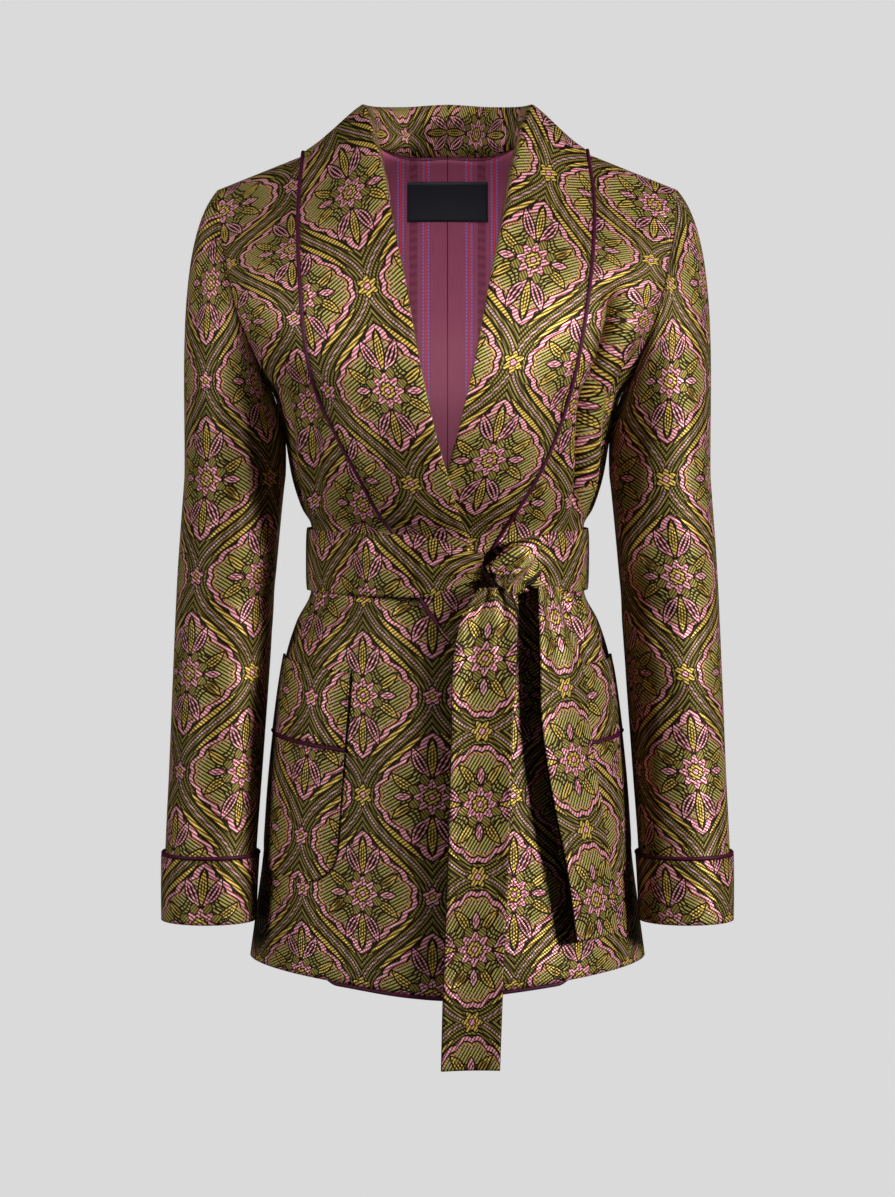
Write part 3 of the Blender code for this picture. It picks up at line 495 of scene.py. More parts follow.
def makeWoven():
    look = wovenLook
    gloss, glossTint = look["gloss"]
    material, flow, shader = newMaterial("wovenPattern", {
        "Specular IOR Level": gloss, "Specular Tint": tint(glossTint)})
    u, v = flatPlace(flow)
    wide, tall, lobe = look["repeatWide"], look["repeatTall"], look["repeatWide"] / 4.0
    pHere, qHere = u.folded(wide), v.folded(tall)
    pNext, qNext = (u + wide / 2.0).folded(wide), (v + tall / 2.0).folded(tall)
    wave = 2.0 * math.pi / tall
    inside = ((qHere * wave).cos() * lobe + lobe - abs(pHere)).over(0.0)
    p = pNext + (pHere - pNext) * inside
    q = qNext + (qHere - qNext) * inside
    across, up = abs(p), abs(q)
    slope = (q * wave).sin() * (lobe * wave)
    rim = (q * wave).cos() * lobe + lobe - across
    rim = rim / (slope * slope + 1.0).root()  # distance from the lattice
    reach = (p * p + q * q).root()
    around = p.turnOf(q)
    petals = (around * look["petals"]).cos()

    ribAcross, ribUp, ribPitch = look["rib"]
    rib = (u * ribAcross + v * ribUp).wave(ribPitch)
    hatchAcross, hatchUp, hatchPitch, hatchDark, hatchSoft = look["hatch"]
    hatch = ((u * hatchAcross - v * hatchUp).wave(hatchPitch) - hatchDark).edge(hatchSoft)

    def yarn(name, share):
        return share.blend(tint(look[name][0]), tint(look[name][1]))

    outline, thinOutline = look["outline"], look["thinOutline"]
    field, peach, lilac = yarn("field", rib), yarn("peach", rib), yarn("lilac", hatch)
    yarns = {name: yarn(name, hatch) for name in ("pink", "gold")}
    paint = Paint(yarn("ground", hatch), hatch * 0.7, tint(look["dark"]))

    # dark contour lines along the lattice, and echo lines round the flower
    frameAt, frameHalf = look["frame"]
    scallopPitch, scallopDeep = look["scallop"]
    scallop = rim + abs((q * (math.pi / scallopPitch)).sin()) * scallopDeep
    outside = (frameAt - scallop).edge()
    paint.lay(outside, field, 0.6)
    contour = stripes(rim, *look["contour"])
    paint.darken(contour * outside)
    echoPitch, echoShare, echoSway, echoReach, echoClear = look["echo"]
    echo = stripes(reach + petals * echoSway, echoPitch, echoShare)
    paint.darken(echo * (echoReach - reach).edge() * (scallop - frameAt - echoClear).edge())
    paint.shape(line(rim, look["latticeHalf"]), lilac, thinOutline)

    # gold sickles between the contour lines
    start, length, away, half = look["sickle"]
    swing = ((up - start) / length).atLeast(0.0).atMost(1.0)
    sickle = (swing * math.pi).sin() * half
    there = (sickle - 0.4).edge()
    body = line(rim - away, sickle)
    paint.darken((body + outline).edge() * there)
    paint.lay(body.edge() * there, yarns["gold"])

    # scalloped frame of the cell, with a thin line and beads inside
    paint.shape(line(scallop - frameAt, frameHalf), yarns["pink"], outline)
    away, half = look["frameLine"]
    paint.lay(line(scallop - frameAt - away, half).edge(), peach)
    away, pitch, radius = look["beads"]
    step, gap = q.folded(pitch), scallop - frameAt - away
    paint.lay((radius - (gap * gap + step * step).root()).edge(), lilac)

    # outlined leaves, mirrored both ways, then the flower over their roots
    ribHalf, ribClear = look["midrib"]
    for rootAcross, rootUp, lean, length, half, curve, name in look["leaves"]:
        leaf, midrib = leafShape(across, up, (rootAcross, rootUp), lean, length, half, curve)
        paint.shape(leaf, yarns[name], outline)
        paint.darken((leaf - look["leafRim"]).edge())
        paint.lay(line(midrib, ribHalf).edge() * (leaf - ribClear).edge(), yarns[name])
    radius, swing = look["calyx"]
    paint.shape(radius - petals * swing - reach, field, outline)
    radius, swing = look["bloom"]
    paint.shape(radius + petals * swing - reach, yarns["pink"], outline)
    half, farthest = look["petalLines"]
    between = (around * (look["petals"] / 2.0)).sin() * reach
    paint.darken(line(between, half).edge(0.8) * (farthest - reach).edge())
    radius, swing = look["eye"]
    paint.shape(radius - petals * swing - reach, yarns["gold"], outline)
    paint.shape(look["eyeHeart"] - reach, yarns["pink"], thinOutline)

    # small flowers where the cells meet
    for (x, y), small in zip(((pNext, qHere), (pHere, qNext)), look["smallFlowers"]):
        count, radius, heart, name, heartName = small
        away = (x * x + y * y).root()
        bloom = (x.turnOf(y) * count).cos() * (radius * look["smallSwing"]) + radius - away
        paint.shape(bloom, yarns[name], outline)
        paint.shape(heart - away, yarns[heartName], look["smallOutline"])

    patch = objectPlace(flow).noise(9.0, 2.0)
    shade = (patch * 0.5 + 0.75) * (rib * 0.3 + 0.85)
    cast = {i: shade * part for i, part in enumerate(look["warmth"])}
    cast = flow.node("ShaderNodeCombineColor", None, cast)
    colour = flow.node("ShaderNodeMix", {"data_type": "RGBA", "blend_type": "MULTIPLY"},
                       {0: 1.0, 6: paint.colour, 7: cast}, 2)
    relief = rib * 0.5 - contour * 0.4 + hatch * 0.25
    rough = paint.bright * (look["roughYarn"] - look["roughDark"]) + look["roughDark"]
    attach(flow, shader, {"Base Color": colour, "Roughness": rough, "Metallic": paint.bright * look["silk"],
                          "Normal": relief.bump(0.45, 0.0006)})
    return material


# lining satin with woven stripes

liningLook = {
    "base": ("a04c67", "ba6684"),
    "band": "74334a",
    "red": "ee4a60",
    "violet": "9a84dc",
    "seam": "4a1c2c",
    "period": 62.0,
    "bandAt": 31.0,
    "bandHalf": 3.6,
    "stripeAt": 11.4,
    "stripeHalf": 0.8,
    "dash": (2.3, 0.75, 3.4),  # distance from the red stripe, half width, pitch
    "bandPitch": 9.0,
    "seamHalf": 0.45,
    "gloss": (0.3, "f0a8b8"),
}


def makeLining():
    look = liningLook
    gloss, glossTint = look["gloss"]
    material, flow, shader = newMaterial("stripedSatin", {
        "Specular IOR Level": gloss, "Specular Tint": tint(glossTint)})
    u, v = flatPlace(flow)
    side = abs((u - look["bandAt"]).folded(look["period"]))
    grain = flow.node("ShaderNodeCombineXYZ", None, {0: u * 1.6, 1: v * 0.05}).noise(1.0, 2.0)
    colour = grain.blend(tint(look["base"][0]), tint(look["base"][1]))
    tone = (v.wave(look["bandPitch"]) - 0.5).edge(0.6) * 0.6
    colour = ((look["bandHalf"] - side).edge(1.0) * (tone * 0.5 + 0.4)).blend(colour, tint(look["band"]))
    off = abs(side - look["stripeAt"])
    dashAt, dashHalf, dashPitch = look["dash"]
    dash = (v.wave(dashPitch) - 0.35).edge(0.5)
    colour = (line(off - dashAt, dashHalf).edge() * dash).blend(colour, tint(look["violet"]))
    colour = (look["stripeHalf"] - off).edge().blend(colour, tint(look["red"]))
    colour = line(u, look["seamHalf"]).edge().blend(colour, tint(look["seam"]))
    weave = u.wave(0.9) * 0.5 + grain
    attach(flow, shader, {"Base Color": colour, "Roughness": grain * 0.15 + 0.34,
                          "Normal": weave.bump(0.12, 0.0003)})
    return material


# piping, thread, painted shade on the cut edges, and the label

cordLooks = {  # low and high tone, fineness of the grain, roughness
    "burgundyPiping": ("2a071b", "5a1638", 900.0, 0.42),
    "darkThread": ("15161c", "2a2c34", 1500.0, 0.55),
    # painted shade: near-black tones put on the cut rims of every cloth piece, standing in for the shade
    # along their edges
    "paintedEdgeShade": ("0d0904", "241b0c", 700.0, 0.55),
}
labelTones = ("1d1f27", "30333d")


def makeCordLook(name):
    low, high, scale, rough = cordLooks[name]
    material, flow, shader = newMaterial(name, {"Specular IOR Level": 0.2})
    grain = objectPlace(flow).noise(scale, 3.0)
    attach(flow, shader, {"Base Color": grain.blend(tint(low), tint(high)), "Roughness": grain * 0.2 + rough,
                          "Normal": grain.bump(0.3, 0.0004)})
    return material


def makeLabelLook():
    material, flow, shader = newMaterial("plainLabel", {"Sheen Weight": 0.1})
    u, v = flatPlace(flow)
    weave = u.wave(0.8) * v.wave(0.8)
    attach(flow, shader, {"Base Color": weave.blend(*map(tint, labelTones)), "Roughness": weave * 0.1 + 0.55,
                          "Normal": weave.bump(0.15, 0.0003)})
    return material


woven = makeWoven()
satin = makeLining()
pipingLook, threadLook, edgeShadeLook = (makeCordLook(name) for name in cordLooks)
labelLook = makeLabelLook()
print("materials made, woven cloth has", len(woven.node_tree.nodes), "nodes")


# cloth pieces

def solidName(name):  # a piece's name as its solid spells it
    return "".join("_" + letter.lower() if letter.isupper() else letter for letter in name)


def clothPiece(name, points, flat, wall=bodyForm["clothWall"], node=None,
               flip=False, wrap=False, face=None, inner=None):
    index = np.arange(points.shape[0] * points.shape[1]).reshape(points.shape[:2])
    faces = quads(closedRing(index) if wrap else index)
    corners = quads(np.arange(flat.shape[0] * flat.shape[1]).reshape(flat.shape[:2]))
    if flip:
        faces, corners = faces[:, ::-1], corners[:, ::-1]
    corners = flat.reshape(-1, 2)[corners]
    mesh = bpy.data.meshes.new(name)
    mesh.from_pydata(points.reshape(-1, 3).tolist(), [], faces.tolist())
    mesh.uv_layers.new(name="flatCloth").data.foreach_set("uv", corners.reshape(-1))
    mesh.shade_smooth()
    # the third material goes on the rims and is painted edge shade
    for look in (face or woven, inner or face or satin, edgeShadeLook):
        mesh.materials.append(look)
    piece = bpy.data.objects.new(name, mesh)
    bpy.context.scene.collection.objects.link(piece)
    solid = piece.modifiers.new("clothWall", "SOLIDIFY")
    solid.thickness, solid.offset = wall, -1.0
    solid.material_offset, solid.material_offset_rim = 1, 2
    solid.use_even_offset = False
    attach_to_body(piece, "root")
    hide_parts(node or solidName(name))
    first, second = corners[:, 2] - corners[:, 0], corners[:, 3] - corners[:, 1]
    area = float(np.abs(first[:, 0] * second[:, 1] - first[:, 1] * second[:, 0]).sum() / 2.0)
    wide, tall = (float(s) for s in np.ptp(flat.reshape(-1, 2), axis=0))
    area = min(area, wide * tall)
    print("cloth %s: cut %.0f x %.0f mm, %.3f square metres" % (name, wide * 1000, tall * 1000, area))


panelDetail = {
    "frontSteps": (64, 190),
    "backSteps": (110, 180),
    "wovenShift": {wearerRight: 0.012, wearerLeft: 0.004},
}
collarForm = {
    "columns": ("level", "roll", "rightEdge", "leftEdge", "stand"),
    "rows": (
        (-0.4370, -0.0205, -0.0150, -0.0150, 0.0006), (-0.4250, -0.0205, -0.0090, -0.0090, 0.0008),
        (-0.4000, -0.0200, 0.0050, 0.0050, 0.0012), (-0.3760, -0.0195, 0.0195, 0.0170, 0.0016),
        (-0.3460, -0.0175, 0.0300, 0.0290, 0.0016), (-0.3180, -0.0115, 0.0400, 0.0440, 0.0018),
        (-0.3020, -0.0070, 0.0505, 0.0540, 0.0020), (-0.2750, 0.0005, 0.0680, 0.0710, 0.0024),
        (-0.2350, 0.0115, 0.0915, 0.0895, 0.0030), (-0.2050, 0.0185, 0.1060, 0.0990, 0.0040),
        (-0.1600, 0.0285, 0.1165, 0.1090, 0.0055), (-0.1100, 0.0370, 0.1210, 0.1160, 0.0080),
        (-0.0550, 0.0477, 0.1240, 0.1210, 0.0125), (-0.0050, 0.0550, 0.1250, 0.1230, 0.0175),
        (0.0455, 0.0660, 0.1220, 0.1180, 0.0186),
    ),
    "neckBack": 0.0500,
    "neckClear": 0.0028,
    "fallBack": 0.0745,
    "backStand": 0.0342,
    "wovenShift": {wearerRight: 0.0, wearerLeft: 0.062},
    "facing": 0.012,
    "gap": 0.0012,
    "backGap": 0.0016,
    "centreGap": 0.0002,
    "backStations": 7,
    "turns": (  # share of the width, rise in stands at the shoulder and at the back, clearance, set aside
        (0.00, 0.55, 0.55, 0.40, -0.0036), (0.00, 0.88, 0.92, 0.85, -0.0032),
        (0.00, 0.99, 1.06, 1.05, -0.0014), (0.06, 0.96, 1.00, 1.05, 0.0000),
        (0.16, 0.86, 0.80, 1.00, 0.0006), (0.32, 0.66, 0.50, 1.00, 0.0008),
        (0.52, 0.42, 0.24, 1.00, 0.0006), (0.76, 0.17, 0.07, 1.00, 0.0002),
        (1.00, 0.00, 0.00, 1.00, 0.0000),
    ),
    "turnUnder": (  # set aside in metres, share of the depth under the front
        (0.0040, 1.0), (0.0018, 1.0), (-0.0018, 0.75),
    ),
    "lean": 0.9,
    "acrossParts": 5,
    "alongParts": 6,
    "foldTurn": 5,
    "middleTurn": 10,
    "wovenAside": 0.03,
}
collarAt = Loft(collarForm["columns"], collarForm["rows"])
neckTable = collarAt(collarForm["rows"][-1][0])
neckRoll = float(neckTable.roll)
neckAngle = float(angleFor(neckRoll, np.float64(topPlace)))
backShare = np.linspace(0.0, 1.0, collarForm["backStations"] + 1)[1:]
backTurn = backShare * math.pi / 2.0


def frontInner(place):
    level = ringAt(place).level
    return np.where(level <= bodyForm["breakLevel"], bodyForm["frontEdge"], collarAt(level).roll)


def makeFront(side):
    share, up = grid(*panelDetail["frontSteps"])
    along = panelPlace(up * topPlace, shoulderEnd(mix(neckAngle, bodyForm["rings"][-1][5], share)))
    angle = mix(angleFor(frontInner(along), along), sideLimit(along), share)
    points = frontPoint(side, angle, along, 0.0)
    flat = np.stack([side * roundArc(angle, along) + panelDetail["wovenShift"][side], along], -1)
    clothPiece("front" + sideNames[side], points, flat, flip=side == wearerRight)


def backPlace(across, depth):  # angle and place on the back for a point in plan
    def behind(place):
        ring = ringAt(place)
        ratio = np.minimum(1.0, across / ring.width)
        return ring.back * np.sqrt(1.0 - ratio * ratio) > depth

    place = halved(np.shape(across), armpitPlace, topPlace, behind)
    return 180.0 - angleFor(across, place), place


def backEnd(share):
    ring = ringAt(np.float64(topPlace))
    across = np.abs(ring.width * np.sin(np.radians(share * ring.arm)))
    reach = neckRoll + collarForm["neckClear"]
    seam = shoulderEnd(np.abs(share) * ring.arm)
    inner = np.sqrt(np.maximum(0.0, 1.0 - (across / reach) ** 2))
    neck = backPlace(across, (collarForm["neckBack"] + collarForm["neckClear"]) * inner)[1]
    return np.where(across >= reach, seam, np.minimum(neck, seam))


def backGrid(share, up, out, topDrop):
    end = backEnd(share)
    along = panelPlace(up * topPlace, end)
    along = along - topDrop * softStep((along - armpitPlace) / (end - armpitPlace))
    turn = np.abs(share) * sideLimit(along)
    left, right = (bodyPoint(side, 180.0 - turn, along, out) for side in (wearerLeft, wearerRight))
    points = np.where((share > 0.0)[..., None], left, right)
    return points, np.stack([np.sign(share) * roundArc(turn, along, True), along], -1)


def makeBack():
    share, up = grid(*panelDetail["backSteps"])
    points, flat = backGrid(share * 2.0 - 1.0, up, 0.0, 0.0)
    clothPiece("backPanel", points, flat, node="back", flip=True)


liningForm = {
    "wall": 0.0010, "gap": 0.0032, "reach": 0.88, "topDrop": 0.0050, "lowPlace": 0.05, "steps": (70, 120),
}
labelForm = {
    "half": 0.0370, "top": -0.0140, "low": -0.0500, "wall": 0.0010, "gap": 0.0016, "steps": (24, 12),
    "stitch": 0.0026, "stitchLong": 0.0017, "thread": 0.00022, "seamInset": 0.0016,
}


def makeLiningPiece():
    share, up = grid(*liningForm["steps"])
    share, up = (share * 2.0 - 1.0) * liningForm["reach"], mix(liningForm["lowPlace"], 1.0, up)
    out = -bodyForm["clothWall"] - liningForm["gap"]
    points, flat = backGrid(share, up, out, liningForm["topDrop"])
    clothPiece("backLining", points, flat, liningForm["wall"], "lining_back", flip=True,
               face=satin)


def heightPlace(across, height):  # place on the back at a distance from its centre and a height
    def under(place):
        return barePoint(180.0 - angleFor(across, place), place)[..., 2] < height

    return halved(np.shape(across), armpitPlace, topPlace, under)


def labelSpot(across, height, out):
    along = heightPlace(np.abs(across), height)
    angle = 180.0 - angleFor(np.abs(across), along)
    depth = -bodyForm["clothWall"] - liningForm["gap"] - liningForm["wall"] - labelForm["gap"] + out
    point = barePoint(angle, along) + bareNormal(angle, along) * depth
    point[..., 0] *= np.where(across > 0.0, 1.0, -1.0)
    return point


def makeLabel():
    share, up = grid(*labelForm["steps"])
    across = mix(-labelForm["half"], labelForm["half"], share)
    points = labelSpot(across, mix(labelForm["low"], labelForm["top"], up), 0.0)
    clothPiece("neckLabel", points, np.stack([across, walked(points, 0)], -1), labelForm["wall"], "label",
               flip=True, face=labelLook)


# shawl collar: control rows as cut, then smoothed both ways

collarUnder = -(2.0 * bodyForm["clothWall"] + collarForm["gap"])


def collarEdge(table, side):
    return table.rightEdge if side == wearerRight else table.leftEdge


def collarFrontRows(side):
    form = collarForm
    along = rowPlaces[bodyForm["breakRow"]:]
    share = np.linspace(0.0, 1.0, len(along))
    table = collarAt(ringAt(along).level)
    speed = np.degrees(1.0 / ringAt(along).width)
    start, stop = angleFor(table.roll, along), angleFor(collarEdge(table, side), along)
    over = mix(form["gap"], form["backGap"], softStep((share - 0.7) / 0.3)) + bodyForm["clothWall"]
    facing = mix(form["facing"], form["turnUnder"][0][0], softStep((share - 0.6) / 0.4))
    asides = (facing, facing * 0.45, form["turnUnder"][-1][0])
    columns = [frontPoint(side, start + aside * speed, along, collarUnder * rise)
               for aside, (_, rise) in zip(asides, form["turnUnder"])]
    for part, rise, _, clear, aside in form["turns"]:
        angle = mix(start, stop, part) + aside * speed
        columns.append(frontPoint(side, angle, along, over * clear + table.stand * rise))
    return np.stack(columns, 1)


def collarBackRows(side):
    form = collarForm
    edge = collarEdge(neckTable, side)
    stand = mix(neckTable.stand, form["backStand"], np.sin(backTurn))
    close = softStep(backShare * 1.5)
    over = form["backGap"] + bodyForm["clothWall"]
    columns = []
    inner = [(0.0, aside, collarUnder * rise) for aside, rise in form["turnUnder"]]
    outer = [(part, aside, over * clear + stand * mix(rise, closeRise, close))
             for part, rise, closeRise, clear, aside in form["turns"]]
    for part, aside, rise in inner + outer:
        across = mix(neckRoll, edge, part) * np.cos(backTurn) + aside * np.cos(backTurn)
        depth = mix(form["neckBack"], form["fallBack"], part) * np.sin(backTurn) + aside * np.sin(backTurn)
        angle, along = backPlace(np.maximum(across, 0.0), np.maximum(depth, 0.0))
        lift = bareNormal(angle, along)
        lift[:, 2] += form["lean"] * close * (1.0 - part)
        point = barePoint(angle, along) + unit(lift) * np.broadcast_to(rise, backShare.shape)[:, None]
        point[:, 0] = np.maximum(point[:, 0], form["centreGap"] / 2.0)
        point[-1, 0] = form["centreGap"] / 2.0
        columns.append(mirrored(point, side))
    return np.stack(columns, 1)


def collarRows(side):
    return np.concatenate([collarFrontRows(side), collarBackRows(side)])


def makeCollar(side):
    form = collarForm
    fine = spline(collarRows(side), form["alongParts"])
    fine = np.swapaxes(spline(np.swapaxes(fine, 0, 1), form["acrossParts"]), 0, 1)
    fold, middle = (turn * form["acrossParts"] for turn in (form["foldTurn"], form["middleTurn"]))
    across = walked(fine, 1)
    across = across - across[:, fold:fold + 1]
    along = np.broadcast_to(walked(fine, 0)[:, middle:middle + 1], across.shape)
    flat = np.stack([side * across + form["wovenAside"] * side, along + form["wovenShift"][side]], -1)
    clothPiece("collar" + sideNames[side], fine, flat, flip=side == wearerRight,
               inner=woven)


# set-in sleeves and turn-back cuffs

sleeveForm = {
    "columns": ("height", "across", "forward", "halfWidth", "halfDepth"),
    "rows": (
        (-0.654, 0.2064, 0.036, 0.0388, 0.0410), (-0.600, 0.2050, 0.028, 0.0395, 0.0430),
        (-0.530, 0.2012, 0.017, 0.0405, 0.0460), (-0.451, 0.1970, 0.006, 0.0418, 0.0500),
        (-0.366, 0.1922, 0.000, 0.0428, 0.0530), (-0.275, 0.1846, 0.000, 0.0436, 0.0560),
    ),
    "capHeight": -0.275,
    "capPush": 0.0002,
    "around": 84,
    "capRows": 44,
    "armRows": 100,
    "capLead": ((0.16, 0.30), (0.0, -0.22), -0.50),  # how the cap leaves the armhole: out, forwards, down
    "capClose": (0.02, 0.0, -0.9),
    "slantReach": 0.045,
    "wovenShift": 0.02,
    "creases": {  # place round the arm in degrees, height, reach round, reach up, slant, depth
        wearerRight: (
            (180.0, -0.232, 38.0, 0.032, 0.0, 0.0034), (118.0, -0.260, 15.0, 0.055, -0.5, -0.0028),
            (150.0, -0.310, 14.0, 0.050, -0.7, 0.0026), (100.0, -0.385, 40.0, 0.010, 0.55, -0.0018),
            (125.0, -0.432, 42.0, 0.010, 0.45, -0.0020), (112.0, -0.408, 38.0, 0.009, 0.50, 0.0016),
            (70.0, -0.540, 30.0, 0.030, 0.30, -0.0012), (236.0, -0.395, 45.0, 0.014, -0.50, -0.0026),
            (258.0, -0.436, 42.0, 0.014, -0.40, 0.0022),
        ),
        wearerLeft: (
            (120.0, -0.255, 16.0, 0.060, -0.5, -0.0032), (148.0, -0.300, 14.0, 0.055, -0.7, 0.0028),
            (95.0, -0.392, 42.0, 0.009, 0.55, -0.0022), (120.0, -0.425, 40.0, 0.010, 0.50, 0.0020),
            (110.0, -0.462, 40.0, 0.010, 0.40, -0.0020), (60.0, -0.520, 30.0, 0.030, 0.30, -0.0014),
            (240.0, -0.400, 45.0, 0.014, -0.50, -0.0026), (262.0, -0.440, 40.0, 0.014, -0.40, 0.0022),
            (180.0, -0.232, 38.0, 0.032, 0.0, 0.0034),
        ),
    },
}
sleeveAt = Loft(sleeveForm["columns"], sleeveForm["rows"])


def sleeveRing(height, turn, out):
    row = sleeveAt(height)
    across = row.across + (row.halfWidth + out) * np.cos(turn)
    depth = -row.forward - (row.halfDepth + out) * np.sin(turn)
    return np.stack(np.broadcast_arrays(across, depth, height), -1)


def armholePoint(share):
    forward = share <= 0.5
    along = mix(topPlace, armpitPlace, np.where(forward, share, 1.0 - share) * 2.0)
    arm = ringAt(along).arm
    point = barePoint(np.where(forward, arm, 180.0 - arm), along)
    point[..., 0] += sleeveForm["capPush"]
    return point


def sleeveCrease(side, turn, height):
    depth = np.zeros(np.broadcast(turn, height).shape)
    for place, level, wide, tall, slant, deep in sleeveForm["creases"][side]:
        aside = (np.degrees(turn) - place + 180.0) % 360.0 - 180.0
        up = height - level - slant * np.radians(aside) * sleeveForm["slantReach"]
        depth = depth + deep * np.exp(-(aside / wide) ** 2 - (up / tall) ** 2)
    return depth


def sleeveGrid(side):
    form = sleeveForm
    turn = fullTurn(form["around"])
    start = armholePoint(np.arange(form["around"]) / form["around"])
    stop = sleeveRing(np.full_like(turn, form["capHeight"]), turn, 0.0)
    reach = np.linalg.norm(stop - start, axis=-1)[:, None]
    (out, outSwing), (forward, forwardSwing), down = form["capLead"]
    ahead = forward + forwardSwing * np.sin(turn)
    lead = np.stack([out + outSwing * np.cos(turn), ahead, np.full_like(turn, down)], -1)
    step = (np.arange(form["capRows"]) / form["capRows"])[:, None, None]
    cap = hermite(step, start, stop, lead * reach, np.array(form["capClose"]) * reach)
    heights = np.linspace(form["capHeight"], form["rows"][0][0], form["armRows"])[:, None]
    arm = sleeveRing(np.broadcast_to(heights, (len(heights), len(turn))), turn[None, :], 0.0)
    points = np.concatenate([cap, arm])
    outward = np.stack([np.cos(turn), -np.sin(turn), np.zeros_like(turn)], -1)
    fade = softStep(np.linspace(0.0, 8.0, len(points)))[:, None]  # no crease at the armhole seam
    points = points + outward * (sleeveCrease(side, turn[None, :], points[..., 2]) * fade)[..., None]
    return mirrored(points, side)


def closedFlat(points, side, shift):  # flat place on a tube, cut open along its first column
    ring = closedRing(points)
    around = walked(ring, 1)
    around = around - around[:, -1:] / 2.0
    along = np.broadcast_to(walked(ring, 0).mean(1, keepdims=True), around.shape)
    return np.stack([around * side + shift, along], -1)


def makeSleeve(side):
    points = sleeveGrid(side)
    flat = closedFlat(points, side, sleeveForm["wovenShift"])
    cap = sleeveForm["capRows"]
    along = walked(closedRing(points), 0)
    flat[..., 1] = along[cap] - along
    flat[:cap, :, 0] = flat[cap, :, 0]
    clothPiece("sleeve" + sideNames[side], points, flat, flip=side == wearerRight, wrap=True)


cuffForm = {
    "top": -0.6010, "low": -0.6560, "wall": 0.0020, "flare": 0.0008, "gap": 0.0004, "wave": 0.0004,
    "rows": 19, "wovenShift": 0.05,
}


def makeCuff(side):
    form, turn = cuffForm, fullTurn(sleeveForm["around"])
    share = np.linspace(0.0, 1.0, form["rows"])[:, None]
    height = mix(form["low"], form["top"], share)
    out = form["gap"] + form["wall"] + form["flare"] * share + form["wave"] * np.sin(3.0 * turn + share * 2.0)
    level = np.broadcast_to(np.maximum(height, sleeveForm["rows"][0][0]), out.shape)
    points = sleeveRing(level, turn[None, :], out)
    points[..., 2] = height
    points = mirrored(points, side)
    flat = closedFlat(points, side, form["wovenShift"])
    clothPiece("cuff" + sideNames[side], points, flat, form["wall"], flip=side == wearerLeft,
               wrap=True, inner=woven)


# patch pockets

pocketForm = {
    "corner": 0.0815, "top": -0.4380, "width": 0.106, "height": 0.182, "band": 0.0640, "tilt": 5.0,
    "round": 0.030, "puff": 0.0016, "gap": 0.0004, "bandWall": 0.0022, "pipingRadius": 0.0017,
    "wovenShift": (0.037, 0.060), "bandShift": 0.05, "steps": (36, 44), "bandSteps": (36, 24),
}
arcAngles = np.linspace(0.0, 100.0, 401)


def arcAngle(place, length):  # angle reached by walking a length round a section
    ring = ringAt(np.asarray(place).reshape(-1))
    turn = np.radians((arcAngles[1:] + arcAngles[:-1]) / 2.0)
    pace = np.hypot(ring.width[:, None] * np.cos(turn), ring.front[:, None] * np.sin(turn))
    pace = pace * np.radians(arcAngles[1])
    run = np.concatenate([np.zeros((len(pace), 1)), np.cumsum(pace, 1)], 1)
    lengths = np.broadcast_to(length, np.shape(place)).reshape(-1)
    return np.array([np.interp(a, b, arcAngles) for a, b in zip(lengths, run)]).reshape(np.shape(place))


pocketPlace = placeOf(np.float64(pocketForm["top"]))
pocketStart = float(roundArc(angleFor(pocketForm["corner"], pocketPlace), pocketPlace))


def pocketPoint(side, along, down, out):
    form = pocketForm
    tilt = math.radians(form["tilt"])
    place = placeOf(form["top"] + along * math.sin(tilt) - down * math.cos(tilt))
    angle = arcAngle(place, pocketStart + along * math.cos(tilt) + down * math.sin(tilt))
    swell = np.sin(math.pi * np.clip(along / form["width"], 0.0, 1.0)) ** 0.7
    return frontPoint(side, angle, place, out + form["puff"] * swell * (1.0 - 0.5 * down / form["height"]))


def makePocket(side):
    form, front = pocketForm, "front" + sideNames[side]
    shiftAcross, shiftUp = form["wovenShift"]
    share, up = grid(*form["steps"])
    top = form["band"] + 2.0 * (form["gap"] + form["pipingRadius"])
    down = mix(form["height"], top, up ** 1.25)
    bite = np.maximum(0.0, down - form["height"] + form["round"])
    inset = form["round"] - np.sqrt(np.maximum(form["round"] ** 2 - bite ** 2, 0.0))
    along = mix(inset, form["width"] - inset, share)
    points = pocketPoint(side, along, down, form["gap"] + bodyForm["clothWall"])
    flat = np.stack([side * along + shiftAcross, shiftUp - down], -1)
    clothPiece("pocket" + sideNames[side], points, flat, flip=side == wearerRight)
    share, up = grid(*form["bandSteps"])
    down = mix(form["band"], 0.0, up)
    along = form["width"] * share
    points = pocketPoint(side, along, down, form["gap"] + form["bandWall"])
    flat = np.stack([side * along + shiftAcross, shiftUp + form["bandShift"] - down], -1)
    clothPiece("pocketBand" + sideNames[side], points, flat, form["bandWall"],
               flip=side == wearerRight, inner=woven)


# tie belt with its knot and ends

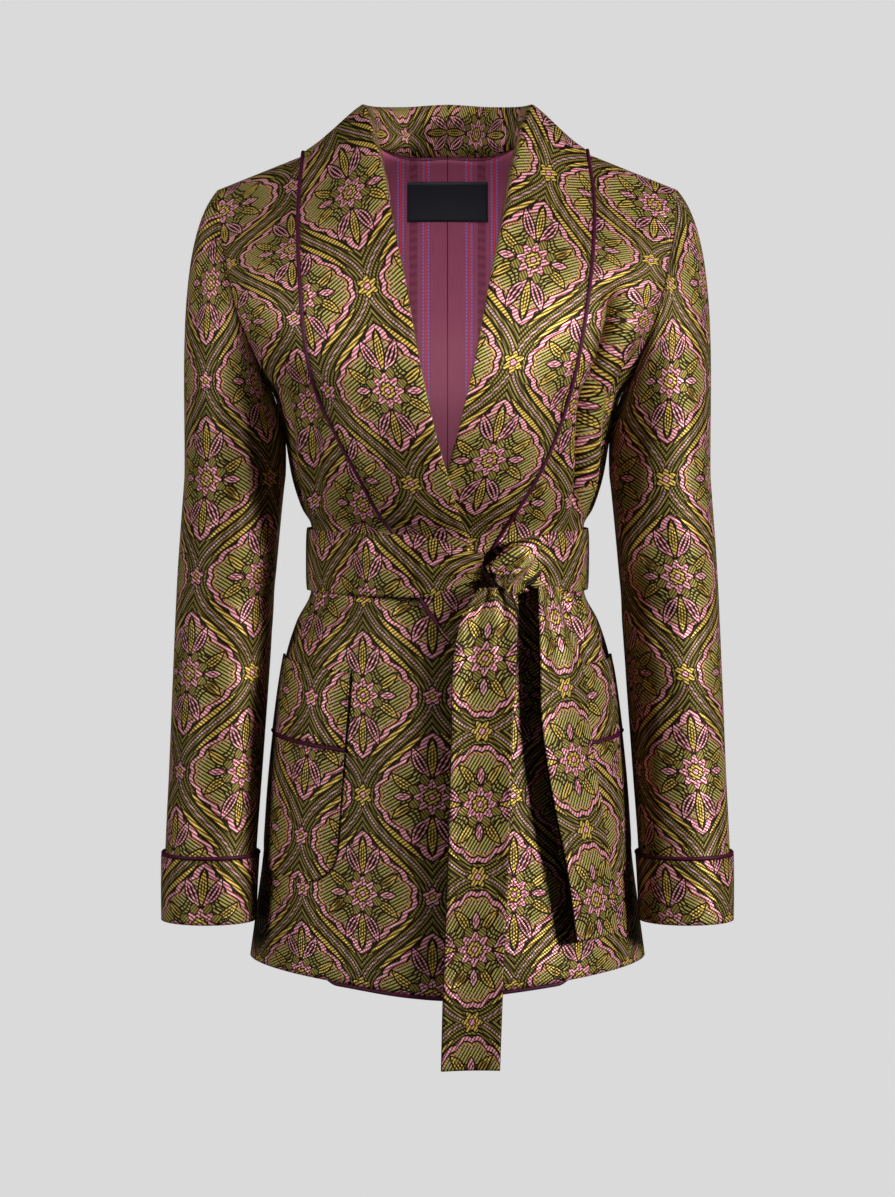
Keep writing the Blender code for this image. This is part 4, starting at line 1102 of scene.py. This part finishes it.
beltForm = {
    "level": -0.3460, "half": 0.0265, "wall": 0.0028, "base": 0.0030, "stack": 0.0165,
    "rightClear": 0.100, "rightFull": 0.040, "leftClear": 0.066, "leftFull": 0.026,
    "stretches": (  # piece, first angle, last angle, columns, angle of the pinch
        ("beltBack", 97.0, 263.0, 110, None), ("beltRight", -96.6, 13.0, 96, 16.0),
        ("beltLeft", 24.0, 96.6, 66, 20.0),
    ),
    "pinch": (0.42, 2.0, 26.0),  # share of the width, and the degrees it starts and opens over
    "gather": (0.0016, 3.0, 40.0),  # depth of the ridges, and the degrees they start and fade over
    "sway": 0.0005,
    "edgeRound": 0.0006,
    "wovenAside": 0.03,
    "tailColumns": ("height", "across", "half", "lift"),
    "longTail": (
        (-0.7670, 0.0195, 0.0242, 0.0226), (-0.7000, 0.0215, 0.0246, 0.0228),
        (-0.6000, 0.0255, 0.0250, 0.0224), (-0.5000, 0.0285, 0.0252, 0.0224),
        (-0.4300, 0.0310, 0.0262, 0.0226), (-0.3920, 0.0345, 0.0240, 0.0235),
        (-0.3637, 0.0385, 0.0125, 0.0224),
    ),
    "shortTail": (
        (-0.6680, 0.1230, 0.0255, 0.0084), (-0.6100, 0.1155, 0.0255, 0.0084),
        (-0.5400, 0.1040, 0.0255, 0.0084), (-0.4800, 0.0960, 0.0250, 0.0085),
        (-0.4300, 0.0915, 0.0225, 0.0082), (-0.3980, 0.0850, 0.0175, 0.0082),
        (-0.3660, 0.0780, 0.0130, 0.0092),
    ),
    "rows": 22,
    "tailHalf": 0.026,
    "tailGather": -0.47,  # the ends are gathered above this height
    "longFolds": {
        "over": 0.10, "bow": 0.0022, "lean": 0.0010, "sway": 0.0012, "ripple": 0.0026, "shift": 0.02,
        "steps": (26, 170),
    },
    "shortFolds": {
        "over": 0.08, "lean": 0.0045, "sway": 0.0008, "ripple": 0.0020, "shift": 0.09, "steps": (26, 130),
    },
}
beltPlace = placeOf(np.float64(beltForm["level"]))


def beltPoint(angle, rise, out):
    form = beltForm
    place = np.broadcast_to(beltPlace, angle.shape)
    sign = np.where(angle > 0.0, 1.0, -1.0)
    flip = np.stack([sign, np.ones_like(sign), np.ones_like(sign)], -1)
    point, normal = barePoint(np.abs(angle), place) * flip, bareNormal(np.abs(angle), place) * flip
    across = point[..., 0]
    toRight = (form["rightClear"] + across) / (form["rightClear"] - form["rightFull"])
    toLeft = (form["leftClear"] - across) / (form["leftClear"] - form["leftFull"])
    stacked = softStep(np.where(across < 0.0, toRight, toLeft)) * (np.abs(angle) < 90.0)
    away = form["base"] + form["stack"] * stacked
    point = point + normal * (away + out)[..., None]
    point[..., 2] += rise
    return point


def makeBelt():
    form = beltForm
    narrow, pinchFrom, pinchOver = form["pinch"]
    ridgeDeep, gatherFrom, gatherOver = form["gather"]
    for piece, first, last, columns, pinch in form["stretches"]:
        share, up = grid(columns, form["rows"])
        angle, across = mix(first, last, share), up * 2.0 - 1.0
        half, gather = form["half"], 0.0
        if pinch is not None:
            far = np.abs(angle - pinch)
            half = half * mix(narrow, 1.0, softStep((far - pinchFrom) / pinchOver))
            gather = 1.0 - softStep((far - gatherFrom) / gatherOver)
        ridge = ridgeDeep * gather * np.sin(up * 15.0 + share * 2.0)
        ridge = ridge + form["sway"] * np.sin(angle * 0.21 + up * 3.0)
        edge = -form["edgeRound"] * (np.abs(across) ** 6)
        points = beltPoint(angle, mix(-half, half, up), form["wall"] + ridge + edge)
        flat = np.stack([walked(points, 1), across * form["half"] + form["wovenAside"]], -1)
        clothPiece(piece, points, flat, form["wall"],
                   inner=woven)


def tailGrid(rows, folds):
    share, up = grid(*folds["steps"])
    height = mix(rows[0][0], rows[-1][0], up)
    gather = softStep((height - beltForm["tailGather"]) / folds["over"])
    return share * 2.0 - 1.0, height, Loft(beltForm["tailColumns"], rows)(height), gather


def tailPiece(name, points, across, folds):
    flat = np.stack([walked(points, 0) + folds["shift"], across * beltForm["tailHalf"]], -1)
    clothPiece(name, points, flat, beltForm["wall"], inner=woven)


def makeTails():
    folds = beltForm["longFolds"]
    across, height, tail, gather = tailGrid(beltForm["longTail"], folds)
    front = ringAt(placeOf(np.maximum(height, bodyForm["rings"][0][0]))).front
    bow = -folds["bow"] * across ** 2 - folds["lean"] * (1.0 - across) ** 2
    bow = bow - folds["sway"] * np.sin(height * 21.0) * (1.0 - gather)
    ripple = gather * folds["ripple"] * np.sin(across * 6.4 + 0.6)
    points = np.stack([tail.across + tail.half * across, -front - tail.lift + bow - ripple, height], -1)
    tailPiece("beltTailLong", points, across, folds)

    folds = beltForm["shortFolds"]
    across, height, tail, gather = tailGrid(beltForm["shortTail"], folds)
    along = placeOf(height)
    ring = ringAt(along)
    speed = np.degrees(1.0 / np.hypot(ring.width * 0.72, ring.front * 0.69))  # pace round the body there
    angle = angleFor(tail.across, along) + tail.half * across * speed
    lift = tail.lift + folds["lean"] * (1.0 - across) + gather * folds["ripple"] * np.sin(across * 6.0)
    lift = lift + folds["sway"] * np.sin(height * 30.0)
    points = barePoint(angle, along) + bareNormal(angle, along) * lift[..., None]
    tailPiece("beltTailShort", points, across, folds)


knotForm = {
    "rows": (  # across, height, out, radius, flatness
        (0.0370, -0.3545, 0.1178, 0.0088, 0.75), (0.0470, -0.3510, 0.1132, 0.0130, 0.70),
        (0.0580, -0.3470, 0.1073, 0.0175, 0.66), (0.0690, -0.3425, 0.1000, 0.0195, 0.62),
        (0.0790, -0.3380, 0.0925, 0.0185, 0.60),
    ),
    "around": 72,
    "parts": 12,
    "folds": 0.0026,
    "openTurn": -0.75,
    "openReach": 0.028,
}


def makeKnot():
    rows = spline(np.array(knotForm["rows"]), knotForm["parts"])
    axis = np.array((rows[-1, 0] - rows[0, 0], rows[0, 2] - rows[-1, 2], rows[-1, 1] - rows[0, 1]))
    axis /= np.linalg.norm(axis)
    up = np.array((0.0, 0.0, 1.0)) - axis * axis[2]
    up /= np.linalg.norm(up)
    front = np.cross(axis, up)
    turn = fullTurn(knotForm["around"])
    share = np.linspace(0.0, 1.0, len(rows))[:, None]
    pleat = knotForm["folds"] * np.sin(6.0 * turn + 2.5 * share) * softStep((1.15 - share) * 1.5)
    radius = rows[:, 3:4] + pleat
    points = np.stack([rows[:, 0], -rows[:, 2], rows[:, 1]], -1)[:, None, :]
    points = points + up * (radius * np.sin(turn))[..., None]
    points = points + front * (radius * rows[:, 4:5] * np.cos(turn))[..., None]
    facing = np.maximum(np.cos(turn - knotForm["openTurn"]), 0.0) ** 2
    points = points - axis * (knotForm["openReach"] * facing * softStep(share * 1.3))[..., None]
    ring = closedRing(points)
    along = np.broadcast_to(walked(ring, 0).mean(1, keepdims=True), ring.shape[:2])
    clothPiece("beltKnot", points, np.stack([along, walked(ring, 1)], -1), beltForm["wall"],
               flip=True, wrap=True, inner=woven)


makeBack()
makeLiningPiece()
makeLabel()
for wearerSide in (wearerRight, wearerLeft):
    makeFront(wearerSide)
    makeCollar(wearerSide)
    makeSleeve(wearerSide)
    makeCuff(wearerSide)
    makePocket(wearerSide)
makeBelt()
makeKnot()
makeTails()
print("cloth pieces made")


# piping and stitches run along paths

def pathObject(name, lines, closed=False):
    curve = bpy.data.curves.new(name, "CURVE")
    curve.dimensions = "3D"
    for points in lines:
        run = curve.splines.new("POLY")
        run.points.add(len(points) - 1)
        run.points.foreach_set("co", np.concatenate([points, np.ones((len(points), 1))], 1).reshape(-1))
        run.use_cyclic_u = closed
    path = bpy.data.objects.new(name, curve)
    bpy.context.scene.collection.objects.link(path)
    return path


def newTree(name, inputs):
    tree = bpy.data.node_groups.new(name, "GeometryNodeTree")
    keys = {}
    for label, kind in (("Geometry", "Geometry"), *inputs):
        made = tree.interface.new_socket(label, in_out="INPUT", socket_type="NodeSocket" + kind)
        keys[label] = made.identifier
    tree.interface.new_socket("Geometry", in_out="OUTPUT", socket_type="NodeSocketGeometry")
    start = tree.nodes.new("NodeGroupInput")
    return Flow(tree), keys, {label: Flow(tree, start.outputs[label]) for label in keys}


def endTree(flow, shape, material):
    real = flow.node("GeometryNodeRealizeInstances", None, {"Geometry": shape})
    done = flow.node("GeometryNodeSetMaterial", None, {"Geometry": real, "Material": material})
    flow.tree.links.new(done.socket, flow.tree.nodes.new("NodeGroupOutput").inputs["Geometry"])


def cordTree():
    flow, keys, given = newTree("cordAlongEdge", (
        ("Cord radius", "Float"), ("Step", "Float"), ("Cloth", "Material")))
    even = flow.node("GeometryNodeResampleCurve", {"mode": "LENGTH"}, {
        "Curve": given["Geometry"], "Length": given["Step"]})
    ring = flow.node("GeometryNodeCurvePrimitiveCircle", None, {
        "Resolution": 12, "Radius": given["Cord radius"]})
    tube = flow.node("GeometryNodeCurveToMesh", None, {
        "Curve": even, "Profile Curve": ring, "Fill Caps": True})
    endTree(flow, flow.node("GeometryNodeSetShadeSmooth", None, {"Geometry": tube}), given["Cloth"])
    return flow.tree, keys


def stitchTree():
    flow, keys, given = newTree("stitchesAlongEdge", (
        ("Spacing", "Float"), ("Thread radius", "Float"), ("Stitch length", "Float"), ("Thread", "Material")))
    spots = flow.node("GeometryNodeCurveToPoints", {"mode": "LENGTH"}, {
        "Curve": given["Geometry"], "Length": given["Spacing"]}, "Points")
    turns = Flow(flow.tree, spots.socket.node.outputs["Rotation"])
    thread = flow.node("GeometryNodeMeshCylinder", None, {
        "Vertices": 6, "Radius": given["Thread radius"], "Depth": given["Stitch length"]}, "Mesh")
    put = flow.node("GeometryNodeInstanceOnPoints", None, {
        "Points": spots, "Rotation": turns, "Instance": thread})
    endTree(flow, put, given["Thread"])
    return flow.tree, keys


def grown(name, path, tree, keys, values):  # runs a tree on a path and keeps the plain mesh
    modifier = path.modifiers.new("grow", "NODES")
    modifier.node_group = tree
    for label, value in values.items():
        modifier[keys[label]] = value
    shown = path.evaluated_get(bpy.context.evaluated_depsgraph_get())
    mesh = bpy.data.meshes.new_from_object(shown)
    path.modifiers.remove(modifier)
    bpy.data.objects.remove(path, do_unlink=True)
    mesh.name = name
    piece = bpy.data.objects.new(name, mesh)
    bpy.context.scene.collection.objects.link(piece)
    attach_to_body(piece, "root")
    return piece


pipingForm = {
    "radius": 0.0017, "gap": 0.0001, "step": 0.0025, "hemReach": 0.108, "hemStart": 0.005, "topDrop": 0.004,
    "tuck": (0.014, 0.003, 0.004),  # the hem's end: over what length, how far in and how far up
}
pipingStep = pipingForm["gap"] + pipingForm["radius"]
pipingProud = pipingForm["gap"] * 1.5 + pipingForm["radius"]


def collarPipingLine(side):
    rows = collarRows(side)
    edge, inner = rows[1:, -1], rows[1:, -2]
    along = rowPlaces[bodyForm["breakRow"] + 1:]
    front = bareNormal(angleFor(collarEdge(collarAt(ringAt(along).level), side), along), along)
    reach = collarEdge(neckTable, side)
    back = bareNormal(*backPlace(reach * np.cos(backTurn), collarForm["fallBack"] * np.sin(backTurn)))
    normals = mirrored(np.concatenate([front, back]), side)
    points = edge + unit(edge - inner) * pipingStep + normals * (pipingForm["radius"] - bodyForm["clothWall"])
    points[-1, 0] = side * pipingForm["gap"] / 2.0
    return spline(points, 6)


def edgePipingLine(side):
    form, half = pipingForm, -bodyForm["clothWall"] / 2.0
    along = placeOf(np.linspace(bodyForm["breakLevel"] - form["topDrop"], bodyForm["rings"][0][0], 60))
    aside = np.degrees(pipingStep / ringAt(along).width)
    down = frontPoint(side, angleFor(bodyForm["frontEdge"], along) - aside, along, half)
    down[-1, 2] -= pipingStep
    tuckLong, tuckIn, tuckUp = form["tuck"]
    across = np.linspace(bodyForm["frontEdge"] + form["hemStart"], form["hemReach"], 50)
    tuck = softStep((across - form["hemReach"] + tuckLong) / tuckLong)
    hemPlace = np.zeros_like(across)
    hem = frontPoint(side, angleFor(across, hemPlace), hemPlace, half - tuckIn * tuck)
    hem[:, 2] -= pipingStep - tuckUp * tuck
    return np.concatenate([down, hem])


def cuffPipingLine(side):
    turn = np.linspace(0.0, 2.0 * math.pi, 97)[:-1]
    height = cuffForm["top"] + pipingForm["gap"] + pipingForm["radius"]
    return mirrored(sleeveRing(np.full_like(turn, height), turn, pipingProud), side)


def pocketPipingLine(side):
    along = np.linspace(0.0, pocketForm["width"], 50)
    down = np.full_like(along, pocketForm["band"] + pipingForm["gap"] + pipingForm["radius"])
    return pocketPoint(side, along, down, pipingProud)


pipingRoutes = {
    "collar": collarPipingLine, "edge": edgePipingLine, "cuff": cuffPipingLine, "pocket": pocketPipingLine,
}
cordNodes, cordKeys = cordTree()
for wearerSide in (wearerRight, wearerLeft):
    for place, route in pipingRoutes.items():
        name = place + "Piping" + sideNames[wearerSide]
        path = pathObject(name + "Path", [route(wearerSide)], closed=place == "cuff")
        cord = grown(name, path, cordNodes, cordKeys, {
            "Cord radius": pipingForm["radius"], "Step": pipingForm["step"], "Cloth": pipingLook})
        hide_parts(solidName(name))

stitchNodes, stitchKeys = stitchTree()
seamAcross = labelForm["half"] - labelForm["seamInset"]
seamUp = np.linspace(labelForm["low"] + labelForm["seamInset"], labelForm["top"] - labelForm["seamInset"], 24)
labelSeams = [labelSpot(np.full(24, s * seamAcross), seamUp, -labelForm["wall"]) for s in (-1.0, 1.0)]
labelStitches = grown("labelStitches", pathObject("labelPath", labelSeams), stitchNodes, stitchKeys, {
    "Spacing": labelForm["stitch"], "Thread radius": labelForm["thread"],
    "Stitch length": labelForm["stitchLong"], "Thread": threadLook})
print("piping and stitches made")


# studio: pale floor and backdrop, soft light, camera at the photograph's angle

studio = {
    "aim": (0.0, 0.0, -0.381),
    "distance": 3.5,
    "elevation": 4.0,
    "frameTall": 1.041,
    "floor": -1.25,
    "wall": 9.0,
    "wallTop": 8.0,
    "bend": 2.0,
    "floorTint": "040404",
    "floorGlow": ("dadada", 1.0),
    "lamps": (  # name, place, size, power, seen in the sheen
        ("rightLamp", (2.72, -1.77, 0.45), 0.6, 105.0, True),
        ("leftLamp", (-2.80, -1.65, 0.45), 0.9, 46.0, True),
        ("backLamp", (0.9, 3.50, 0.10), 1.6, 60.0, False),
    ),
    # place, aim, cone in degrees, size, power
    "neckLamp": ((0.0, -3.3, 0.30), (0.0, 0.08, -0.11), 3.8, 0.15, 720.0),
    "world": 0.03,
    "sensor": 36.0,
}


def makeStage():
    bend, floor, wall, columns = studio["bend"], studio["floor"], studio["wall"], 96
    turn = np.linspace(0.0, math.pi / 2.0, 17)
    reach = np.concatenate([[0.5, 2.0], wall - bend + bend * np.sin(turn), [wall]])[:, None]
    height = floor + bend * (1.0 - np.cos(turn))
    height = np.concatenate([[floor, floor], height, [studio["wallTop"]]])[:, None]
    around = fullTurn(columns)
    points = np.stack(np.broadcast_arrays(reach * np.cos(around), reach * np.sin(around), height), -1)
    faces = quads(closedRing(np.arange(points.shape[0] * columns).reshape(-1, columns)))
    mesh = bpy.data.meshes.new("studioSweep")
    mesh.from_pydata(points.reshape(-1, 3).tolist(), [], [list(range(columns))] + faces[:, ::-1].tolist())
    mesh.shade_smooth()
    glow, strength = studio["floorGlow"]
    mesh.materials.append(newMaterial("paleSweep", {
        "Specular IOR Level": 0.0, "Base Color": tint(studio["floorTint"]), "Emission Color": tint(glow),
        "Emission Strength": strength})[0])
    sweep = bpy.data.objects.new("studioSweep", mesh)
    bpy.context.scene.collection.objects.link(sweep)
    sweep.visible_diffuse = sweep.visible_glossy = False  # keeps the sides of the cloth in shade


def hangLamp(light, place, aim, sheen=True):
    lamp = bpy.data.objects.new(light.name, light)
    lamp.location = place
    lamp.visible_glossy = sheen
    lamp.rotation_euler = (Vector(aim) - Vector(place)).to_track_quat("-Z", "Y").to_euler()
    bpy.context.scene.collection.objects.link(lamp)


def makeLamps():
    for name, place, size, power, sheen in studio["lamps"]:
        light = bpy.data.lights.new(name, "AREA")
        light.shape, light.size, light.energy = "DISK", size, power
        hangLamp(light, place, studio["aim"], sheen)
    place, aim, cone, size, power = studio["neckLamp"]
    light = bpy.data.lights.new("neckLamp", "SPOT")
    light.spot_size, light.spot_blend = math.radians(cone), 1.0
    light.shadow_soft_size, light.energy = size, power
    hangLamp(light, place, aim)


makeStage()
makeLamps()
world = bpy.data.worlds.new("softRoom")
world.use_nodes = True
room = world.node_tree.nodes["Background"].inputs
room["Color"].default_value = (1.0, 1.0, 1.0, 1.0)
room["Strength"].default_value = studio["world"]
bpy.context.scene.world = world
bpy.context.scene.view_settings.view_transform = "Standard"

camera = bpy.data.objects.new("photoCamera", bpy.data.cameras.new("photoCamera"))
bpy.context.scene.collection.objects.link(camera)
rise = math.radians(studio["elevation"])
aim = Vector(studio["aim"])
camera.location = aim + Vector((0.0, -math.cos(rise), math.sin(rise))) * studio["distance"]
camera.rotation_euler = (aim - camera.location).to_track_quat("-Z", "Y").to_euler()
camera.data.sensor_width = studio["sensor"]
camera.data.lens = studio["sensor"] * studio["distance"] / studio["frameTall"]
bpy.context.scene.camera = camera

print("scene ready")
